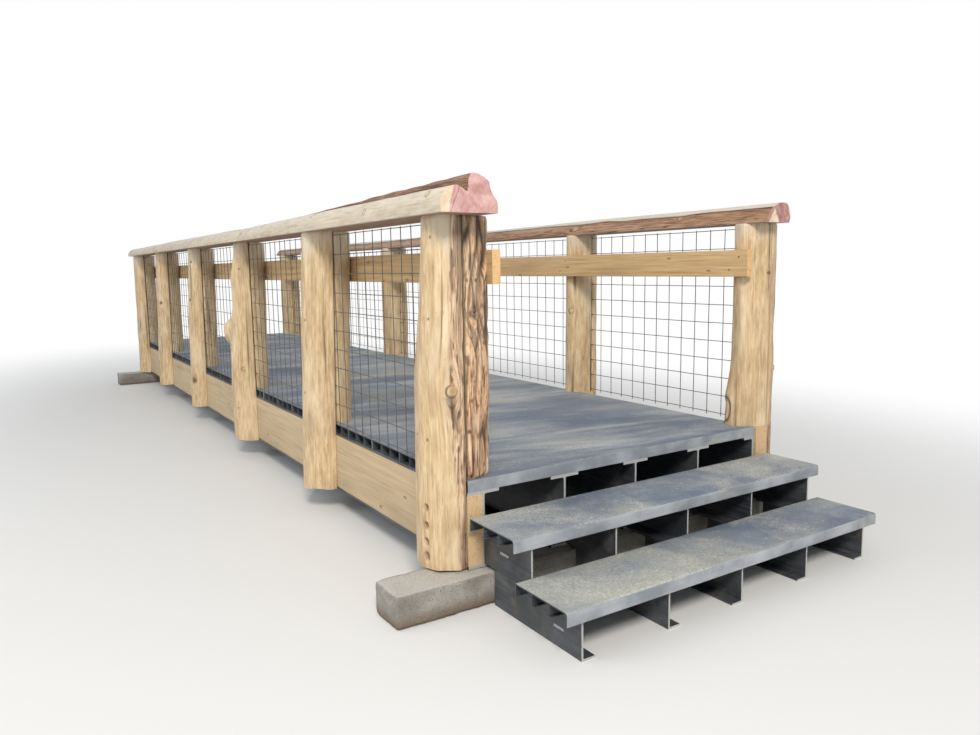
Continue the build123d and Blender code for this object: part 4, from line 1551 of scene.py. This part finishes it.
cap_tones = (srgb(150, 128, 98), srgb(186, 164, 132), srgb(210, 193, 165), srgb(228, 217, 196))
band_tones = (srgb(112, 78, 56), srgb(150, 110, 82), srgb(178, 138, 108), srgb(204, 170, 138))
ridge_tones = (srgb(72, 48, 34), srgb(110, 76, 52), srgb(146, 106, 76), srgb(184, 146, 110))
cream_tones = (srgb(222, 198, 166), srgb(236, 218, 192))
heart_line = srgb(176, 112, 104)
saw_pink = srgb(196, 140, 128)
check_brown = srgb(110, 62, 54)
sap_slope = 0.227
# Where the drying check of the left end starts, and its slope
check_place = 0.1035
check_slope = 0.18
# Heartwood tones, where the sapwood starts, and its wedge: middle, half width and height
cap_ends = {
    "left": ((srgb(184, 138, 134), srgb(203, 160, 156), srgb(216, 180, 175)), 0.112, None),
    "right": (
        (srgb(150, 112, 108), srgb(174, 132, 126), srgb(198, 158, 148)), 0.052, (-0.0735, 0.0425, 0.072),
    ),
}


def cap_end_finish(name, row, heart_tones, sap_place, wedge):
    """Sawn end of a cap rail: pink heartwood, cream sapwood at its edges and faint growth lines."""
    material, tree, shader, place = new_finish(name)
    parts = parts_of(tree, place)
    wobble = times(tree, minus(tree, noise_at(tree, place, (38, 38, 38), 3), 0.5), 0.020)
    outwards = minus(tree, times(tree, parts["Y"], float(row["side"])), row["split"])
    outwards = plus(tree, outwards, wobble)
    above = minus(tree, parts["Z"], post_top)
    outer_edge = plus(tree, outwards, times(tree, above, sap_slope))
    sap = fade(tree, outer_edge, sap_place - 0.003, sap_place + 0.005)
    slanted = plus(tree, maths(tree, "ABSOLUTE", outwards), times(tree, above, 0.45))
    growth = fade(tree, maths(tree, "SINE", times(tree, slanted, 420.0)), 0.55, 1.0)
    cloud = noise_at(tree, place, (26, 26, 26), 4)
    saw = noise_at(tree, place, (300, 30, 420), 2)
    if wedge:
        wedge_middle, wedge_half, wedge_height = wedge
        narrowing = times(tree, above, -wedge_half / wedge_height)
        from_middle = maths(tree, "ABSOLUTE", minus(tree, outwards, wedge_middle))
        in_wedge = minus(tree, plus(tree, narrowing, wedge_half), from_middle)
        sap = maths(tree, "MAXIMUM", sap, fade(tree, in_wedge, -0.003, 0.006))
    colour = coated(
        tree, ramp(tree, cloud, (0.34, 0.50, 0.66), heart_tones),
        (times(tree, growth, 0.16), heart_line),
        (fade(tree, saw, 0.58, 0.72, 0.0, 0.25), saw_pink),
        (times(tree, sap, 0.92), ramp(tree, cloud, (0.35, 0.60), cream_tones)),
    )
    if not wedge:
        drying = plus(tree, outer_edge, times(tree, above, check_slope))
        from_check = maths(tree, "ABSOLUTE", minus(tree, drying, check_place))
        colour = mix_colours(tree, fade(tree, from_check, 0.0008, 0.0022, 0.7, 0.0), colour, check_brown)
    dress(tree, shader, colour, 0.78, minus(tree, saw, times(tree, growth, 0.4)), 0.0006)
    return material


cap_wood = log_finish("cap_log_wood", cap_tones, band_tones, ridge_tones, 0.011, 0.65)
for row_name, row in post_rows.items():
    fields = cap_log(row_name, row, cap_shapes[row_name], cap_seeds[row_name])
    mesh = ring_mesh(f"{row_name}_cap_log", *fields)
    end = cap_end_finish(f"{row_name}_cap_end", row, *cap_ends[row_name])
    show(f"{row_name}_cap_log", mesh, "peeled_log", (f"{row_name}_cap_rail",), cap_wood, end)

# Railing mesh: galvanised 4 inch welded wire in three sheets a side, clamped in the slots of the posts.
# The lengthways wires lie outside the upright ones, and the wires are a little bent from handling.
wire_radius = 0.0022
wire_pitch = 0.1016
wire_rows = 11
seat_gap = 0.0003
first_row = 0.015
bend_step = 0.09
# How far a lengthways and an upright wire may bend, along X, Y and Z
lengthways_bend = (0.0, 0.002, 0.006)
upright_bend = (0.006, 0.002, 0.0)
# The zinc is dark grey, partly dull zinc and partly painted shade
zinc_tones = (srgb(84, 85, 84), srgb(120, 121, 118))
dull_zinc = srgb(66, 63, 58)
# Posts at which the sheets of wire meet
sheet_posts = (0, 2, 4, 5)


def wires(tree, given, run, start, offset, count, bend):
    """Parallel wires as curves: where each runs to, the start of the first and the step to the next."""
    sockets = {"Count": count, "Start Location": start, "Offset": offset}
    points = add_node(tree, "GeometryNodeMeshLine", sockets).outputs[0]
    strand = add_node(tree, "GeometryNodeCurvePrimitiveLine", {"End": run}).outputs[0]
    sockets = {"Curve": copies_on(tree, points, strand), "Length": given["Bend Step"]}
    fine = add_node(tree, "GeometryNodeResampleCurve", sockets, mode="LENGTH").outputs[0]
    sockets = {"Vector": add_node(tree, "GeometryNodeInputPosition").outputs[0], "Scale": 3.1, "Detail": 2.0}
    sway = add_node(tree, "ShaderNodeTexNoise", sockets).outputs["Color"]
    sway = vectors(tree, "MULTIPLY", vectors(tree, "SUBTRACT", sway, (0.5, 0.5, 0.5)), bend)
    return add_node(tree, "GeometryNodeSetPosition", {"Geometry": fine, "Offset": sway}).outputs[0]


def welded_wire(tree, given):
    """Upright and lengthways wires, bent by a little noise and given their thickness."""
    lengthways = wires(
        tree, given, vector_of(tree, X=times(tree, given["Length"], -1.0)),
        vector_of(tree, X=given["Front"], Y=given["Outer Y"], Z=given["First Row"]),
        vector_of(tree, Z=given["Pitch"]), given["Rows"], lengthways_bend,
    )
    second_wire = minus(tree, given["Front"], given["Pitch"])
    uprights = wires(
        tree, given, vector_of(tree, Z=minus(tree, given["Top"], given["Bottom"])),
        vector_of(tree, X=second_wire, Y=given["Inner Y"], Z=given["Bottom"]),
        vector_of(tree, X=times(tree, given["Pitch"], -1.0)), given["Uprights"], upright_bend,
    )
    both = add_node(tree, "GeometryNodeJoinGeometry")
    tree.links.new(lengthways, both.inputs[0])
    tree.links.new(uprights, both.inputs[0])
    sockets = {"Resolution": 6, "Radius": given["Wire Radius"]}
    section = add_node(tree, "GeometryNodeCurvePrimitiveCircle", sockets).outputs[0]
    sockets = {"Curve": both.outputs[0], "Profile Curve": section, "Fill Caps": True}
    solid = add_node(tree, "GeometryNodeCurveToMesh", sockets).outputs[0]
    smooth = add_node(tree, "GeometryNodeSetShadeSmooth", {"Geometry": solid}).outputs[0]
    return with_material(tree, smooth, given["Finish"])


galvanised, tree, shader, place = new_finish("galvanised_wire")
sockets = {"Vector": place, "Scale": 210.0}
spangle = add_node(tree, "ShaderNodeTexVoronoi", sockets, feature="F1").outputs["Color"]
dull = noise_at(tree, place, (9, 9, 14), 4)
colour = coated(
    tree, ramp(tree, parts_of(tree, spangle)["X"], (0.0, 1.0), zinc_tones),
    (fade(tree, dull, 0.45, 0.75, 0.0, 0.6), dull_zinc),
)
shader.inputs["Metallic"].default_value = 0.55
dress(tree, shader, colour, fade(tree, dull, 0.3, 0.7, 0.40, 0.65), dull, 0.0003)
for row_name, row in post_rows.items():
    seat = row["split"] - seat_gap
    joints = [post_middle(row, number) for number in sheet_posts]
    for index, part in enumerate(("front", "middle", "back")):
        front, back = joints[index] - seat_gap, joints[index + 1] + seat_gap
        inputs = {
            "Front": front, "Length": front - back,
            "Outer Y": row["side"] * (seat - wire_radius), "Inner Y": row["side"] * (seat - 3 * wire_radius),
            "Bottom": walk_level, "Top": post_top - first_row, "First Row": walk_level + first_row,
            "Rows": wire_rows, "Pitch": wire_pitch, "Uprights": int((front - back) / wire_pitch),
            "Wire Radius": wire_radius, "Bend Step": bend_step, "Finish": galvanised,
        }
        mesh = repeat_along(f"{row_name}_wire_{part}", bpy.data.meshes.new("start"), inputs, welded_wire)
        show(f"{row_name}_wire_{part}", mesh, "galvanised_wire", (f"{row_name}_mesh_{part}",))

# Steps: two planks with rounded noses, on two layers of short fiberglass channels set on edge. The
# lower channels stand on the ground, the upper ones on those and against the ends of the beams.
tread_going = 0.305
tread_length = 1.829
nose_radius = 0.014
# Front edge, top and shift to the right of each tread
treads = {"upper_tread": (0.345, 0.372, 0.020), "lower_tread": (0.639, 0.203, 0.034)}
# Back, front, foot and top of each layer of channels
stringer_rows = {"upper_stringers": (0.0, 0.329, 0.152, 0.321), "lower_stringers": (0.076, 0.623, 0.0, 0.152)}
stringer_thickness = 0.008
stringer_flange = 0.062
stringer_root = 0.006
stringer_ease = 0.0015
stringer_stations = 2
# Front end of the small clip on the left side of each layer, painted pale as sunlight on it, its size and how
# deep it is let in
clip_fronts = {"upper_stringers": 0.178, "lower_stringers": 0.524}
clip_length = 0.057
clip_height = 0.010
clip_thickness = 0.0012
clip_seat = 0.0002

tread_grit = gritted_finish(
    "gritted_tread", srgb(122, 133, 149), srgb(90, 101, 118), (2.2, 1.8, 2.2), 0.48, 0.26,
    srgb(232, 227, 207),
)
for name, (front, top, shift) in treads.items():
    left, right_end = shift - tread_length / 2, shift + tread_length / 2
    mesh = plank_mesh(name, front, top, left, right_end, tread_going, nose_radius, 0.0)
    piece = name.replace("tread", "step")
    show(piece, mesh, "fiberglass", (name,), plank_resin, plank_end, tread_grit, nose_face)
for name, (back, front, low, high) in stringer_rows.items():
    bars = []
    for number, y in enumerate(beam_places + (half_deck,)):
        facing = -1 if number >= 2 else 1
        web, flange = facing * stringer_thickness, facing * stringer_flange
        low_flange, high_flange = low + stringer_thickness, high - stringer_thickness
        corners = [
            (y, low), (y, high), (y + flange, high), (y + flange, high_flange),
            (y + web, high_flange), (y + web, low_flange), (y + flange, low_flange), (y + flange, low),
        ]
        outline = with_roots(corners, stringer_ease, stringer_root, (4, 5))
        bars.append(prism(outline, 0, back, front, stringer_stations))
    clip_middle = (low + high) / 2
    outline = rectangle(
        (beam_places[0] - clip_thickness, clip_middle - clip_height / 2),
        (beam_places[0] + clip_seat, clip_middle + clip_height / 2),
    )
    places, faces, materials = prism(outline, 0, clip_fronts[name] - clip_length, clip_fronts[name], 1)
    # The clip takes the pale sawn glass on all its faces: painted sunlight on it
    bars.append((places, faces, [1] * len(faces)))
    piece = name.replace("stringers", "step_channels")
    show(piece, gather(name, bars), "fiberglass", (name,), beam_resin, glass_end)

# Bounds of the finished bridge, in metres
low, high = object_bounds()
